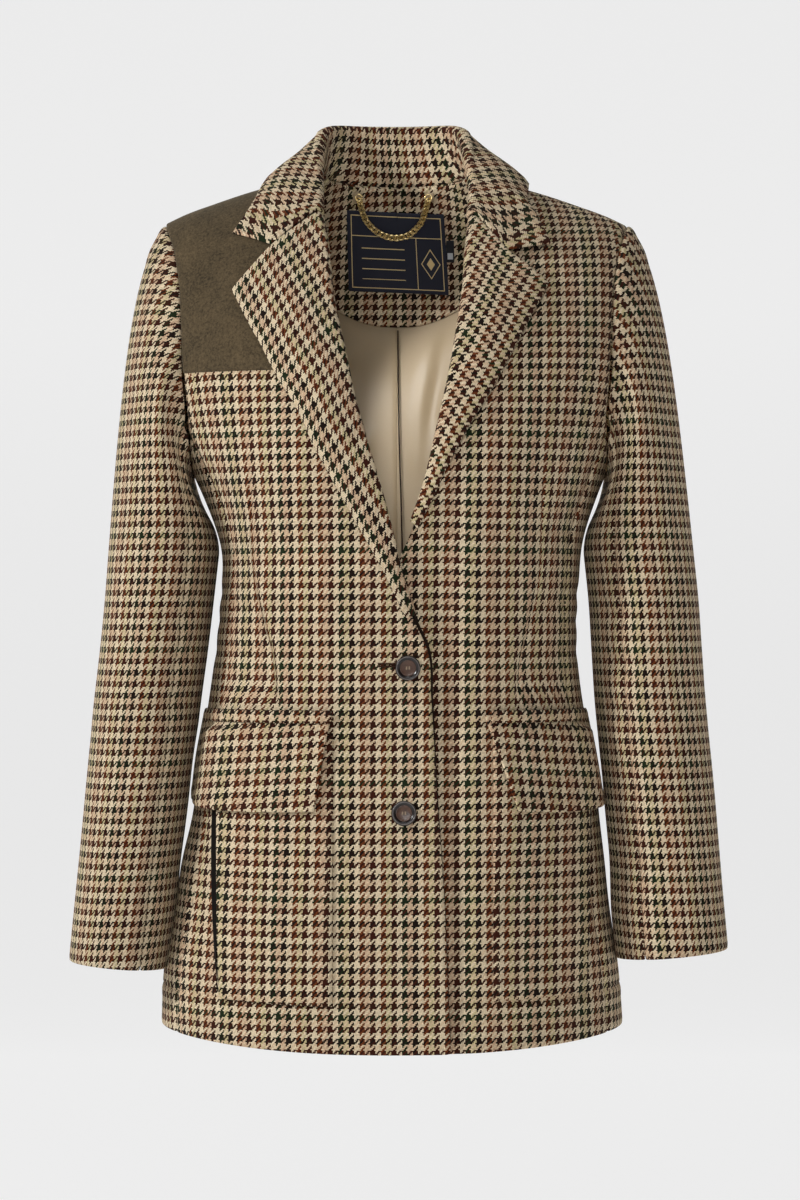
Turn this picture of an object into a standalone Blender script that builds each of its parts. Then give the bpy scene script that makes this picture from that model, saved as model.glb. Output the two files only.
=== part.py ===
# Tweed blazer: a hollow cut-and-sewn garment on no figure.
# Metres, +Z up, -Y is the garment's front, +X is the wearer's left.
# The origin is the middle of the neck opening at shoulder height.
import math

import bpy
import numpy as np

for item in list(bpy.data.objects):
    bpy.data.objects.remove(item, do_unlink=True)

MM = 0.001
TWEED = 2.2 * MM  # thickness of one tweed layer
COLLAR_CLOTH = 3.0 * MM  # collar: two cloths bagged together
PATCH_CLOTH = 1.8 * MM
SATIN = 1.0 * MM
SEAM = 0.3 * MM  # gap between neighbouring pieces
LAY = 0.8 * MM  # gap under a piece that lies on another: it spans their facets
FORM = 2.3  # exponent of the torso's section (2 is an ellipse)
TURN = 1.8  # exponent of the shoulder's roll-over
RIDGE_Y = 0.012  # the shoulder seam's distance behind the neck point
ROLL_END = -0.16066  # height where the shoulder's roll-over ends
DROP = 0.1  # metres of height per radian below the roll-over
HEM = -0.6955
HEM_LIFT = 0.013  # the hem is this much higher at the sides
RING_MID = -0.134
RING_RADIUS = 0.103
UNDER_DIP = 6.4 * MM  # how far the covered front lies inside the other
PATCH_BOTTOM = -0.156
RIGHT, LEFT = -1, 1  # the wearer's sides, as signs of x
FRONT, BACK = -1, 1  # signs of y

# Torso sections: height, half width, front depth, back depth
TORSO = np.array([
    (0.070, 0.205, 0.080, 0.092),
    (0.000, 0.205, 0.091, 0.100),
    (-0.034, 0.205, 0.099, 0.105),
    (-0.100, 0.200, 0.113, 0.113),
    (-0.150, 0.197, 0.125, 0.115),
    (-0.190, 0.188, 0.134, 0.113),
    (-0.215, 0.178, 0.138, 0.111),
    (-0.235, 0.169, 0.139, 0.109),
    (-0.256, 0.160, 0.137, 0.106),
    (-0.293, 0.1480, 0.129, 0.100),
    (-0.338, 0.1465, 0.120, 0.096),
    (-0.379, 0.148, 0.114, 0.098),
    (-0.420, 0.153, 0.112, 0.104),
    (-0.469, 0.162, 0.117, 0.113),
    (-0.518, 0.1665, 0.122, 0.120),
    (-0.584, 0.174, 0.127, 0.126),
    (-0.633, 0.182, 0.130, 0.130),
    (-0.681, 0.188, 0.133, 0.133),
    (-0.730, 0.193, 0.136, 0.136),
])
# Sideways sway of the sections: height, shift
SWAY = np.array([
    (0.0, 0.0), (-0.20, 0.001), (-0.27, 0.003), (-0.31, 0.0035),
    (-0.34, 0.0015), (-0.38, -0.0005), (-0.50, -0.0005), (-0.60, -0.003), (-0.73, -0.004),
])
# Shoulder ridge: distance from the middle, height
RIDGE = np.array([
    (0.0, 0.062), (0.02, 0.0535), (0.044, 0.034), (0.0575, 0.0205), (0.0625, 0.016), (0.07, 0.012),
    (0.10, 0.0015), (0.125, -0.006), (0.15, -0.0145), (0.172, -0.0225), (0.19, -0.031), (0.22, -0.046),
])
# Armhole seam: height, distance from the middle
ARMHOLE = np.array([
    (0.0, 0.190), (-0.031, 0.190), (-0.05, 0.183), (-0.078, 0.177), (-0.118, 0.1738),
    (-0.16, 0.1715), (-0.19, 0.169), (-0.2073, 0.1674), (-0.24, 0.160),
])
SEAM_SHARE = 0.925  # front and side panels meet here, as a share of the half width
BACK_SHARE = 0.925
# Front panel's inner edge: height, distance on its own side (negative crosses over)
OPENING_RIGHT = np.array([
    (0.03, 0.0700), (0.0, 0.0690), (-0.024, 0.0655), (-0.0524, 0.0600), (-0.0966, 0.0552), (-0.1242, 0.0494),
    (-0.14, 0.0455), (-0.1717, 0.0390), (-0.2034, 0.0302), (-0.2232, 0.0246), (-0.2477, 0.0172),
    (-0.283, 0.0077), (-0.3003, 0.0037), (-0.3262, -0.0028), (-0.3498, -0.0112), (-0.3773, -0.0236),
    (-0.4167, -0.0268), (-0.495, -0.0315), (-0.574, -0.0370), (-0.652, -0.0401), (-0.73, -0.0440),
])
OPENING_LEFT = np.array([
    (0.03, 0.0690), (0.0, 0.0680), (-0.024, 0.0640), (-0.0564, 0.0600), (-0.0886, 0.0574), (-0.1203, 0.0526),
    (-0.144, 0.0486), (-0.1678, 0.0438), (-0.1915, 0.0382), (-0.2202, 0.0315), (-0.2438, 0.0258),
    (-0.2712, 0.0172), (-0.2948, 0.0078), (-0.32, -0.0050), (-0.36, -0.0180), (-0.45, -0.0240),
    (-0.73, -0.0260),
])
# Rows shared by the panels below the armhole (heights)
LOWER_ROWS = (-0.235, -0.262, -0.29, -0.32, -0.35, -0.385, -0.42, -0.455, -0.49,
              -0.53, -0.57, -0.61, -0.65, HEM)
RING_DEGREES = (0, 7.5, 15, 30, 45, 60, 75, 90, 105, 120, 135)
SIDE_DEGREES = (135, 150, 165, 180, 195, 210, 225)


def curve(table, at, column=1):
    # Smooth value read from a table, as a cubic between its rows
    order = np.argsort(table[:, 0])
    xs = table[order, 0]
    ys = table[order, column]
    step = np.diff(xs)
    rise = np.diff(ys) / step
    between = (rise[:-1] * step[1:] + rise[1:] * step[:-1]) / (step[1:] + step[:-1])
    slope = np.concatenate([rise[:1], between, rise[-1:]])
    at = np.clip(at, xs[0], xs[-1])
    i = np.clip(np.searchsorted(xs, at) - 1, 0, len(xs) - 2)
    t = (at - xs[i]) / step[i]
    a = (1 + 2 * t) * (1 - t) ** 2 * ys[i] + t * (1 - t) ** 2 * step[i] * slope[i]
    return a + t * t * (3 - 2 * t) * ys[i + 1] + t * t * (t - 1) * step[i] * slope[i + 1]


def curve_points(places, points, at):
    # The same smooth curve through listed points, one column each
    places = np.asarray(places, float)
    points = np.asarray(points, float)
    flat = points.reshape(len(points), -1)
    at = np.asarray(at, float)
    out = [curve(np.column_stack([places, flat[:, k]]), at) for k in range(flat.shape[1])]
    return np.stack(out, axis=-1).reshape((len(at),) + points.shape[1:])


def smoothstep(low, high, value):
    t = np.clip((value - low) / (high - low), 0, 1)
    return t * t * (3 - 2 * t)


def unit(v):
    return v / np.maximum(np.linalg.norm(v, axis=-1, keepdims=True), 1e-12)


def section_y(x, z, face):
    # Depth of the torso section at x, with the bust's swell on the front
    half = curve(TORSO, z)
    depth = curve(TORSO, z, 2 if face == FRONT else 3)
    across = np.abs((x - curve(SWAY, z)) / half)
    share = np.clip(1 - across ** FORM, 0, 1) ** (1 / FORM)
    y = face * depth * share
    if face == FRONT:
        y = y - 0.008 * share * np.exp(-((np.abs(x) - 0.08) / 0.055) ** 2 - ((z + 0.225) / 0.065) ** 2)
    return y


def surface(x, v, face):
    # Outer face of the torso: v is 0 on the shoulder ridge, a right angle where the roll-over ends
    top = curve(RIDGE, np.abs(x))
    angle = np.clip(v, -0.3, math.pi / 2)
    fall = np.abs(np.cos(angle)) ** (2 / TURN)
    out = np.sign(angle) * np.abs(np.sin(angle)) ** (2 / TURN)
    z = top - (top - ROLL_END) * (1 - fall) - np.maximum(v - math.pi / 2, 0) * DROP
    y = RIDGE_Y + (section_y(x, z, face) - RIDGE_Y) * out
    return np.stack([x, y, z], axis=-1)


def v_at(x, z):
    # The row parameter at a height
    top = curve(RIDGE, np.abs(x))
    left = np.clip(1 - (top - z) / (top - ROLL_END), 0, 1)
    upper = np.arccos(left ** (TURN / 2))
    return np.where(z < ROLL_END, math.pi / 2 + (ROLL_END - z) / DROP, upper)


def normals(x, v, face):
    step = 0.0008
    turn = 0.012
    along = surface(x + step, v, face) - surface(x - step, v, face)
    down = surface(x, v + turn, face) - surface(x, v - turn, face)
    return unit(np.cross(along, down)) * face


def skin(x, v, face, off):
    # A point held off the torso's outer face
    off = np.asarray(off, float)
    return surface(x, v, face) + normals(x, v, face) * off[..., None]


def skin_at(x, z, face, off):
    x, z, off = np.broadcast_arrays(np.asarray(x, float), np.asarray(z, float), np.asarray(off, float))
    return skin(x, v_at(x, z), face, off)


def around(a, z, side, off=0.0):
    # The torso below the armhole by section angle: 0 front middle, 90 degrees the side
    a, z, off = np.broadcast_arrays(np.asarray(a, float), np.asarray(z, float), np.asarray(off, float))

    def place(a, z):
        share = np.sign(np.sin(a)) * np.abs(np.sin(a)) ** (2 / FORM)
        x = curve(SWAY, z) + side * curve(TORSO, z) * share
        deep = np.where(np.cos(a) > 0, curve(TORSO, z, 2), curve(TORSO, z, 3))
        lobe = np.abs(np.cos(a)) ** (2 / FORM)
        swell = 0.008 * lobe * np.exp(-((np.abs(x) - 0.08) / 0.055) ** 2 - ((z + 0.225) / 0.065) ** 2)
        y = np.where(np.cos(a) > 0, -deep * lobe - swell, deep * lobe)
        return np.stack([x, y, z], axis=-1)

    along = place(a + 0.01, z) - place(a - 0.01, z)
    up = place(a, z + 0.001) - place(a, z - 0.001)
    return place(a, z) + unit(np.cross(along, up)) * side * off[..., None]


def angle_of(share):
    return np.sign(share) * np.arcsin(np.clip(np.abs(share), 0, 1) ** (FORM / 2))


def own_x(side, low, high, u, z):
    # x between two distances on a panel's own side, evenly by section angle
    half = curve(TORSO, z)
    sway = side * curve(SWAY, z)
    a = angle_of((low - sway) / half)
    b = angle_of((high - sway) / half)
    angle = a + (b - a) * u
    return side * (sway + half * np.sign(angle) * np.abs(np.sin(angle)) ** (2 / FORM))


def seam_x(z, side, share):
    # Outer edge of a front or back panel: the armhole, then the side seam
    low = side * curve(SWAY, z) + share * curve(TORSO, z)
    blend = smoothstep(-0.2073, -0.19, z)
    return np.where(z < -0.2073, low, curve(ARMHOLE, z) * blend + low * (1 - blend))


def lift(x, z, fade_from=-0.43):
    # The hem's rise toward the sides
    share = np.clip(np.abs((x - curve(SWAY, z)) / curve(TORSO, z)), 0, 1)
    return HEM_LIFT * share ** FORM * np.clip((fade_from - z) / (fade_from - HEM), 0, 1) ** 2


def roll_rows():
    # Row parameters down the armhole, matched to the sleeve's ring
    rows = []
    whole = 1 - math.cos(math.radians(105))
    for degrees in RING_DEGREES:
        if degrees <= 105:
            left = 1 - (1 - math.cos(math.radians(degrees))) / whole
            rows.append(math.acos(max(left, 0) ** (TURN / 2)))
        else:
            z = RING_MID + RING_RADIUS * math.cos(math.radians(degrees))
            rows.append(math.pi / 2 + (ROLL_END - z) / DROP)
    return rows


def panel(side, face, inner, share, rows, columns, inset=SEAM / 2):
    # x and v over a front or back panel between its inner edge and its outer seams
    u = np.asarray(columns)[None, :]
    base = np.asarray(rows)[:, None]
    x = side * 0.12 + 0 * u * base
    v = base + 0 * u
    for _ in range(12):
        plain = surface(x, base + 0 * u, face)[..., 2]
        z = plain + np.where(base > math.pi / 2, lift(x, plain), 0)
        v = np.where(base > math.pi / 2, math.pi / 2 + (ROLL_END - z) / DROP, base + 0 * u)
        x = own_x(side, inner(z) + inset, seam_x(z, side, share) - inset, u, z)
    return x, v


def wall(name, outer, inner, colour, rough=0.85, metal=0.0, close=False):
    # A closed thin body between two matching grids of points
    m, n = outer.shape[:2]
    points = np.concatenate([outer.reshape(-1, 3), inner.reshape(-1, 3)])
    grid = np.arange(m * n).reshape(m, n)
    triangles = []

    def face(a, b, c, d):
        triangles.append((a, b, c))
        triangles.append((a, c, d))

    last = n if close else n - 1
    for i in range(m - 1):
        for j in range(last):
            k = (j + 1) % n
            a, b, c, d = grid[i, j], grid[i, k], grid[i + 1, k], grid[i + 1, j]
            face(a, b, c, d)
            face(a + m * n, d + m * n, c + m * n, b + m * n)
    rim = []
    for j in range(last):
        k = (j + 1) % n
        rim.append((grid[0, k], grid[0, j]))
        rim.append((grid[m - 1, j], grid[m - 1, k]))
    if not close:
        for i in range(m - 1):
            rim.append((grid[i, 0], grid[i + 1, 0]))
            rim.append((grid[i + 1, n - 1], grid[i, n - 1]))
    for a, b in rim:
        face(a, b, b + m * n, a + m * n)
    return solid(name, points, triangles, colour, rough, metal)


def solid(name, points, triangles, colour, rough=0.85, metal=0.0):
    points = np.asarray(points)
    triangles = np.asarray(triangles)
    a, b, c = (points[triangles[:, k]] for k in range(3))
    if float((a * np.cross(b, c)).sum()) < 0:
        triangles = triangles[:, ::-1]
    mesh = bpy.data.meshes.new(name)
    mesh.from_pydata(points.tolist(), [], triangles.tolist())
    mesh.update()
    piece = bpy.data.objects.new(name, mesh)
    bpy.context.scene.collection.objects.link(piece)
    paint = bpy.data.materials.new(name)
    paint.use_nodes = True
    shader = paint.node_tree.nodes["Principled BSDF"]
    shader.inputs["Base Color"].default_value = (*colour, 1.0)
    shader.inputs["Roughness"].default_value = rough
    shader.inputs["Metallic"].default_value = metal
    mesh.materials.append(paint)
    return piece


def sheet(name, x, v, face, off, thick, colour, rough=0.85):
    return wall(name, skin(x, v, face, off), skin(x, v, face, off - thick), colour, rough)


def grid_normals(points, wrap=False):
    # Normals of a grid of points from its own rows and columns
    along = np.gradient(points, axis=1)
    if wrap:
        along = (np.roll(points, -1, axis=1) - np.roll(points, 1, axis=1)) / 2
    down = np.gradient(points, axis=0)
    return unit(np.cross(along, down))


TWEED_COLOUR = (0.30, 0.22, 0.14)
SATIN_COLOUR = (0.42, 0.34, 0.26)
ROWS_UPPER = roll_rows()
ROWS_LOWER = [math.pi / 2 + (ROLL_END - z) / DROP for z in LOWER_ROWS]
PANEL_ROWS = ROWS_UPPER + ROWS_LOWER
RIDGE_INSET = 0.02  # radians kept off the shoulder seam


def first_row_inset(rows):
    rows = list(rows)
    rows[0] = RIDGE_INSET
    return rows


def under_dip(x, z):
    # The covered front lies inside the other where they overlap
    return UNDER_DIP * smoothstep(0.066, 0.040, x) * smoothstep(-0.22, -0.29, z)


NECK_TRIM = 0.009  # the fronts stop short under the collar


def build_fronts():
    columns = (0, 0.06, 0.14, 0.23, 0.33, 0.43, 0.53, 0.63, 0.73, 0.83, 0.92, 1)
    rows = first_row_inset(PANEL_ROWS)
    for side, name, table in ((RIGHT, "front_right", OPENING_RIGHT), (LEFT, "front_left", OPENING_LEFT)):

        def inner(z, table=table):
            return curve(table, z) + NECK_TRIM * smoothstep(-0.042, -0.026, z)

        x, v = panel(side, FRONT, inner, SEAM_SHARE, rows, columns)
        z = surface(x, v, FRONT)[..., 2]
        off = -under_dip(x, z) if side == LEFT else 0 * x
        sheet(name, x, v, FRONT, off, TWEED, TWEED_COLOUR)


# Back neck seam: distance from the middle, height
NECK = np.array([(0.0, 0.007), (0.024, 0.0075), (0.044, 0.009), (0.0575, 0.0115), (0.0625, 0.0158)])


def build_backs():
    columns = (0, 0.1, 0.2, 0.3, 0.4, 0.52, 0.64, 0.76, 0.88, 1)
    rows = first_row_inset(PANEL_ROWS)
    for side, name in ((RIGHT, "back_right"), (LEFT, "back_left")):
        x, v = panel(side, BACK, lambda z: 0.0 * z, BACK_SHARE, rows, columns)
        # Rows near the neck are pressed down under the neck seam
        low = v_at(np.abs(x[0]), curve(NECK, np.minimum(np.abs(x[0]), 0.0625)))
        low = np.where(np.abs(x[0]) < 0.0625, np.maximum(low, RIDGE_INSET), RIDGE_INSET)
        reach = 9
        for k in range(reach):
            share = 1 - k / reach
            v[k] = np.maximum(v[k], low * share + v[k] * (1 - share)) if k else np.maximum(v[k], low)
        for k in range(1, reach):
            v[k] = np.maximum(v[k], v[k - 1] + 0.03)
        sheet(name, x, v, BACK, 0 * x, TWEED, TWEED_COLOUR)


def side_rows():
    first = RING_MID + RING_RADIUS * math.cos(math.radians(135))
    return [first] + list(LOWER_ROWS)


def side_grid(side):
    # Section angles and heights over a side panel; its top row is the armhole's lowest part
    degrees = np.radians(np.array(SIDE_DEGREES, float))
    dip = RING_MID + RING_RADIUS * np.cos(degrees)
    u = np.linspace(0, 1, len(degrees))
    levels = np.array(side_rows())
    keep = np.array([1.0, 0.66, 0.38, 0.16, 0.05] + [0] * (len(levels) - 5))
    z = levels[:, None] + (dip - dip[0])[None, :] * keep[:, None]
    a_front = angle_of(SEAM_SHARE)
    a_back = math.pi - angle_of(BACK_SHARE)
    a = a_front + (a_back - a_front) * u[None, :] + 0 * z
    share = np.abs(np.sin(a)) ** 2
    z = z + HEM_LIFT * share * np.clip((-0.43 - z) / (-0.43 - HEM), 0, 1) ** 2
    return a, z


def build_sides():
    for side, name in ((RIGHT, "side_right"), (LEFT, "side_left")):
        a, z = side_grid(side)
        a = a.copy()
        trim = SEAM / 2 / 0.06
        a[:, 0] += trim
        a[:, -1] -= trim
        z = z.copy()
        z[0] -= SEAM
        wall(name, around(a, z, side, 0), around(a, z, side, -TWEED), TWEED_COLOUR)


# Sleeve sections by side: height, middle x, half width, middle y, half depth
SLEEVE = {
    RIGHT: np.array([
        (-0.300, 0.1905, 0.0450, -0.008, 0.073), (-0.338, 0.1940, 0.0443, -0.010, 0.070),
        (-0.380, 0.1985, 0.0439, -0.011, 0.067), (-0.420, 0.2034, 0.0435, -0.013, 0.065),
        (-0.460, 0.2075, 0.0430, -0.016, 0.062), (-0.502, 0.2120, 0.0422, -0.020, 0.059),
        (-0.545, 0.2166, 0.0412, -0.024, 0.056), (-0.590, 0.2220, 0.0396, -0.028, 0.053),
        (-0.6375, 0.2276, 0.0381, -0.033, 0.050),
    ]),
    LEFT: np.array([
        (-0.300, 0.1975, 0.0447, -0.008, 0.073), (-0.338, 0.2013, 0.0447, -0.010, 0.070),
        (-0.380, 0.2040, 0.0449, -0.011, 0.067), (-0.420, 0.2066, 0.0451, -0.013, 0.065),
        (-0.460, 0.2103, 0.0451, -0.016, 0.062), (-0.502, 0.2140, 0.0451, -0.020, 0.059),
        (-0.545, 0.2175, 0.0447, -0.024, 0.056), (-0.584, 0.2206, 0.0443, -0.028, 0.053),
        (-0.6285, 0.2245, 0.0439, -0.033, 0.050),
    ]),
}
CAP_ROWS = 8
RING_ALL = (0, 7.5, 15, 30, 45, 60, 75, 90, 105, 120, 135, 150, 165, 180, 195, 210, 225,
            240, 255, 270, 285, 300, 315, 330, 345, 352.5)
TOP_FROM, TOP_TO = 240, 120  # the top sleeve runs from here, over the crown, to here


def ring_point(side, degrees):
    # A point of the armhole seam and the torso's normal there
    if 135 < degrees < 225:
        u = (degrees - 135) / 90
        a_front = angle_of(SEAM_SHARE)
        a_back = math.pi - angle_of(BACK_SHARE)
        a = a_front + (a_back - a_front) * u
        z = RING_MID + RING_RADIUS * math.cos(math.radians(degrees))
        point = around(a, z, side)
        return point, unit(around(a, z, side, 0.01) - point)
    face = FRONT if degrees <= 135 else BACK
    own = degrees if degrees <= 135 else 360 - degrees
    v = roll_rows()[list(RING_DEGREES).index(own)]
    x = np.array(side * 0.18)
    for _ in range(12):
        z = surface(x, np.array(v), face)[..., 2]
        x = side * seam_x(z, side, SEAM_SHARE)
    v = max(v, RIDGE_INSET / 2)
    return surface(x, np.array(v), face), normals(x, np.array(v), face)


def sleeve_section(side, z, degrees):
    # A sleeve's section at a height: a rounded box that leans with the arm
    table = SLEEVE[side]
    mid, half, y_mid, deep = (curve(table, z, k) for k in (1, 2, 3, 4))
    c = np.cos(np.radians(degrees))
    s = np.sin(np.radians(degrees))
    x = side * (mid + half * np.sign(c) * np.abs(c) ** 0.88)
    y = y_mid - deep * np.sign(s) * np.abs(s) ** 0.88
    return np.stack([x + 0 * y, y + 0 * x, z + 0 * x + 0 * y], axis=-1)


def clear_of_torso(points, clearance):
    # Push points out of the torso's sections
    x, y, z = points[..., 0], points[..., 1], points[..., 2]
    half = curve(TORSO, z)
    deep = np.where(y < 0, curve(TORSO, z, 2), curve(TORSO, z, 3))
    dx = (x - curve(SWAY, z))
    size = (np.abs(dx / half) ** FORM + np.abs(y / deep) ** FORM) ** (1 / FORM)
    want = 1 + clearance / half
    push = np.where(size < want, want / np.maximum(size, 1e-6), 1.0)
    return np.stack([curve(SWAY, z) + dx * push, y * push, z], axis=-1)


def sleeve_grid(side):
    # Rows from the armhole to the cuff, columns round the ring; and the wall's directions
    degrees = np.array(RING_ALL)
    ring, body = (np.array(k) for k in zip(*(ring_point(side, d) for d in RING_ALL)))
    tangent = (np.roll(ring, -1, axis=0) - np.roll(ring, 1, axis=0))
    away = unit(np.cross(tangent, body))
    middle = ring.mean(axis=0)
    flip = np.sign(((middle - ring) * away).sum(axis=1, keepdims=True))
    away = away * np.where(flip == 0, 1, flip)
    under = smoothstep(95, 150, np.minimum(degrees, 360 - degrees))[:, None]
    start = ring + away * (SEAM * 0.7) + body * (under * 1.2 * SEAM)
    turns = np.radians(degrees)
    radial = np.stack([side * np.cos(turns), -np.sin(turns), 0 * degrees], axis=-1)
    lean = np.cos(turns / 2) ** 2
    first_normal = unit(body * lean[:, None] + radial * (1 - lean[:, None]))
    # The cap leaves the armhole sideways over the crown and downward under the arm
    out = np.maximum(np.cos(turns), 0)[:, None]
    flat = np.abs(np.sin(turns))[:, None]
    low = np.maximum(-np.cos(turns), 0)[:, None]
    toward = -np.sign(np.sin(turns))[:, None]
    sideways = side * (out + 0.62 * flat + 0.25 * low)
    downward = 0.55 * out + 0.75 * flat + low
    go = unit(np.concatenate([sideways, toward * 0.42 * flat, -downward], axis=1))
    top_z = SLEEVE[side][0, 0]
    end = sleeve_section(side, np.full(len(degrees), top_z), degrees)
    below = sleeve_section(side, np.full(len(degrees), top_z - 0.03), degrees)
    along = unit(end - below)
    reach = np.linalg.norm(end - start, axis=1, keepdims=True)
    p1 = start + go * np.minimum(reach * 0.33, 0.028 + 0.03 * flat)
    p2 = end + along * (reach * 0.42)
    rows = []
    for k in range(CAP_ROWS + 1):
        t = (k / CAP_ROWS) ** 1.25
        near = (1 - t) ** 3 * start + 3 * t * (1 - t) ** 2 * p1
        rows.append(near + 3 * t * t * (1 - t) * p2 + t ** 3 * end)
    for z in SLEEVE[side][1:, 0]:
        rows.append(sleeve_section(side, np.full(len(degrees), z), degrees))
    points = np.array(rows)
    beside_flap = smoothstep(-0.535, -0.505, points[2:, :, 2]) * smoothstep(-0.40, -0.425, points[2:, :, 2])
    points[2:] = clear_of_torso(points[2:], 0.0030 + 0.0022 * beside_flap)
    facing = grid_normals(points, wrap=True)
    centre = points.mean(axis=1, keepdims=True)
    facing = facing * np.sign(((points - centre) * facing).sum(axis=2).mean())
    facing[0] = first_normal
    facing[1] = unit(facing[1] + first_normal * 0.4)
    return points, facing


def build_sleeves():
    for side, tag in ((RIGHT, "right"), (LEFT, "left")):
        points, facing = sleeve_grid(side)
        count = len(RING_ALL)
        first = RING_ALL.index(TOP_FROM)
        last = RING_ALL.index(TOP_TO)
        over = [k % count for k in range(first, count + last + 1)]
        under = list(range(last, first + 1))
        for name, columns in (("top_sleeve_" + tag, over), ("under_sleeve_" + tag, under)):
            p = points[:, columns].copy()
            n = facing[:, columns]
            for edge, inward in ((0, 1), (-1, -2)):
                step = unit(p[:, inward] - p[:, edge])
                p[:, edge] += step * SEAM
                p[:3, edge] += step[:3] * SEAM
            wall(name, p, p - n * TWEED, TWEED_COLOUR)


# Where the collar's leaf lies in front, by side: outer edge, tip, notch and gorge (x on its own side, z)
LEAF = {
    RIGHT: {"edge": ((0.1128, -0.0133), (0.1200, -0.0263), (0.1280, -0.0376)),
            "tip": (0.1312, -0.0442), "notch": (0.0985, -0.0555), "gorge": (0.0650, -0.0255)},
    LEFT: {"edge": ((0.1045, -0.0175), (0.1110, -0.0270), (0.1180, -0.0400)),
           "tip": (0.1228, -0.0537), "notch": (0.0872, -0.0602), "gorge": (0.0620, -0.0285)},
}
LAPEL = {
    RIGHT: {"edge": ((0.1305, -0.0914), (0.1233, -0.1058), (0.1161, -0.1202), (0.1081, -0.1338),
                     (0.0987, -0.1525), (0.0900, -0.1683), (0.0766, -0.1896), (0.0671, -0.2117),
                     (0.0552, -0.2338), (0.0410, -0.2591), (0.0275, -0.2830), (0.0145, -0.3066),
                     (0.0015, -0.3330), (-0.0065, -0.3500)),
            "notch": (0.0985, -0.0572), "bottom": -0.3500},
    LEFT: {"edge": ((0.1201, -0.0858), (0.1153, -0.0962), (0.1089, -0.1074), (0.0985, -0.1274),
                    (0.0884, -0.1462), (0.0797, -0.1628), (0.0695, -0.1802), (0.0576, -0.1999),
                    (0.0458, -0.2212), (0.0363, -0.2393), (0.0275, -0.2595), (0.0192, -0.2760),
                    (0.0160, -0.2830)),
           "notch": (0.0872, -0.0620), "bottom": -0.2790},
}
ROLL_SPREAD = (-100, -55, -10, 40, 80)  # degrees round the rolled edge, from the inside over to the outside


def roll_radius(z):
    return (3.5 + 0.9 * smoothstep(-0.25, -0.10, z)) * MM


def build_lapels():
    for side, name, table in ((RIGHT, "lapel_right", OPENING_RIGHT), (LEFT, "lapel_left", OPENING_LEFT)):
        shape = LAPEL[side]
        edge = np.array(shape["edge"])
        top = LEAF[side]["gorge"][1] - 0.0024
        count = 18
        share = np.linspace(0, 1, count)
        length = np.concatenate([[0], np.cumsum(np.linalg.norm(np.diff(edge, axis=0), axis=1))])
        outer = curve_points(length / length[-1], edge, share)
        roll_z = top + (shape["bottom"] - top) * share
        roll = np.stack([curve(table, roll_z), roll_z], axis=-1)
        t = np.linspace(0, 1, 7)[1:]
        line = roll[:, None] + (outer - roll)[:, None] * t[None, :, None]
        notch = np.array(shape["notch"])
        to_notch = np.linalg.norm(notch - roll[0])
        bend_at = to_notch / (to_notch + np.linalg.norm(outer[0] - notch))
        bend = notch - (roll[0] + (outer[0] - roll[0]) * bend_at)
        hat = np.minimum(t / bend_at, (1 - t) / (1 - bend_at))
        fade = (1 - smoothstep(0, 0.3, share))
        line = line + bend * hat[None, :, None] * fade[:, None, None]
        radius = roll_radius(roll_z)
        width = np.linalg.norm(outer - roll, axis=1)
        edge_off = np.full(count, 4.0 * MM)
        near = -TWEED / 2 + radius
        swell = np.minimum(0.004, width * 0.07)
        off = near[:, None] + (edge_off - near)[:, None] * t + swell[:, None] * np.sin(math.pi * t)[None, :]
        if side == LEFT:
            off = off - under_dip(line[..., 0], line[..., 1])
        x = side * line[..., 0]
        flat = skin_at(x, line[..., 1], FRONT, off)
        base = skin_at(side * roll[:, 0], roll[:, 1], FRONT, np.full(count, -TWEED / 2))
        n = unit(skin_at(side * roll[:, 0], roll[:, 1], FRONT, np.full(count, 0.01)) - base)
        along = unit(np.gradient(base, axis=0))
        out = unit(np.cross(n, along))
        out = out * np.sign((out[:, 0] * side))[:, None]
        if side == LEFT:
            base = base - n * under_dip(base[:, 0], base[:, 2])[:, None]
        turns = np.radians(np.array(ROLL_SPREAD))
        rolled = base[:, None] + radius[:, None, None] * (
            -out[:, None] * np.cos(turns)[None, :, None] + n[:, None] * np.sin(turns)[None, :, None])
        mid = np.concatenate([rolled, flat], axis=1)
        facing = grid_normals(mid)
        facing = facing * np.sign((facing[:, -2] * n).sum(axis=1).mean())
        wall(name, mid + facing * TWEED / 2, mid - facing * TWEED / 2, TWEED_COLOUR)


def cloud():
    # Points and normals over the torso, for keeping the collar off it
    x, v = np.meshgrid(np.linspace(-0.16, 0.16, 161), np.linspace(0.01, 2.0, 120))
    points = np.concatenate([skin(x, v, face, 0 * x).reshape(-1, 3) for face in (FRONT, BACK)])
    facing = np.concatenate([normals(x, v, face).reshape(-1, 3) for face in (FRONT, BACK)])
    return points, facing


def keep_off(points, least, base, facing):
    flat = points.reshape(-1, 3).copy()
    near = np.array([np.argmin(((base - p) ** 2).sum(axis=1)) for p in flat])
    gap = ((flat - base[near]) * facing[near]).sum(axis=1)
    flat += facing[near] * np.maximum(least.reshape(-1) - gap, 0)[:, None]
    return flat.reshape(points.shape)


# Collar fold from the back middle to the front, on one side: x, y, z
FOLD = ((0.0, 0.0660, 0.0565), (0.025, 0.0635, 0.0565), (0.0450, 0.0535, 0.0560), (0.0572, 0.0370, 0.0520),
        (0.0605, 0.0165, 0.0370), (0.0608, -0.0080, 0.0150), (0.0605, -0.0300, -0.0060))
# Foot of the stand: distance from the middle, height, face
FOOT = ((0.0, 0.007, BACK), (0.024, 0.0075, BACK), (0.044, 0.009, BACK), (0.0575, 0.0115, BACK),
        (0.0622, 0.0150, BACK), (0.0612, 0.0030, FRONT), (0.0612, -0.0180, FRONT))
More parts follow.
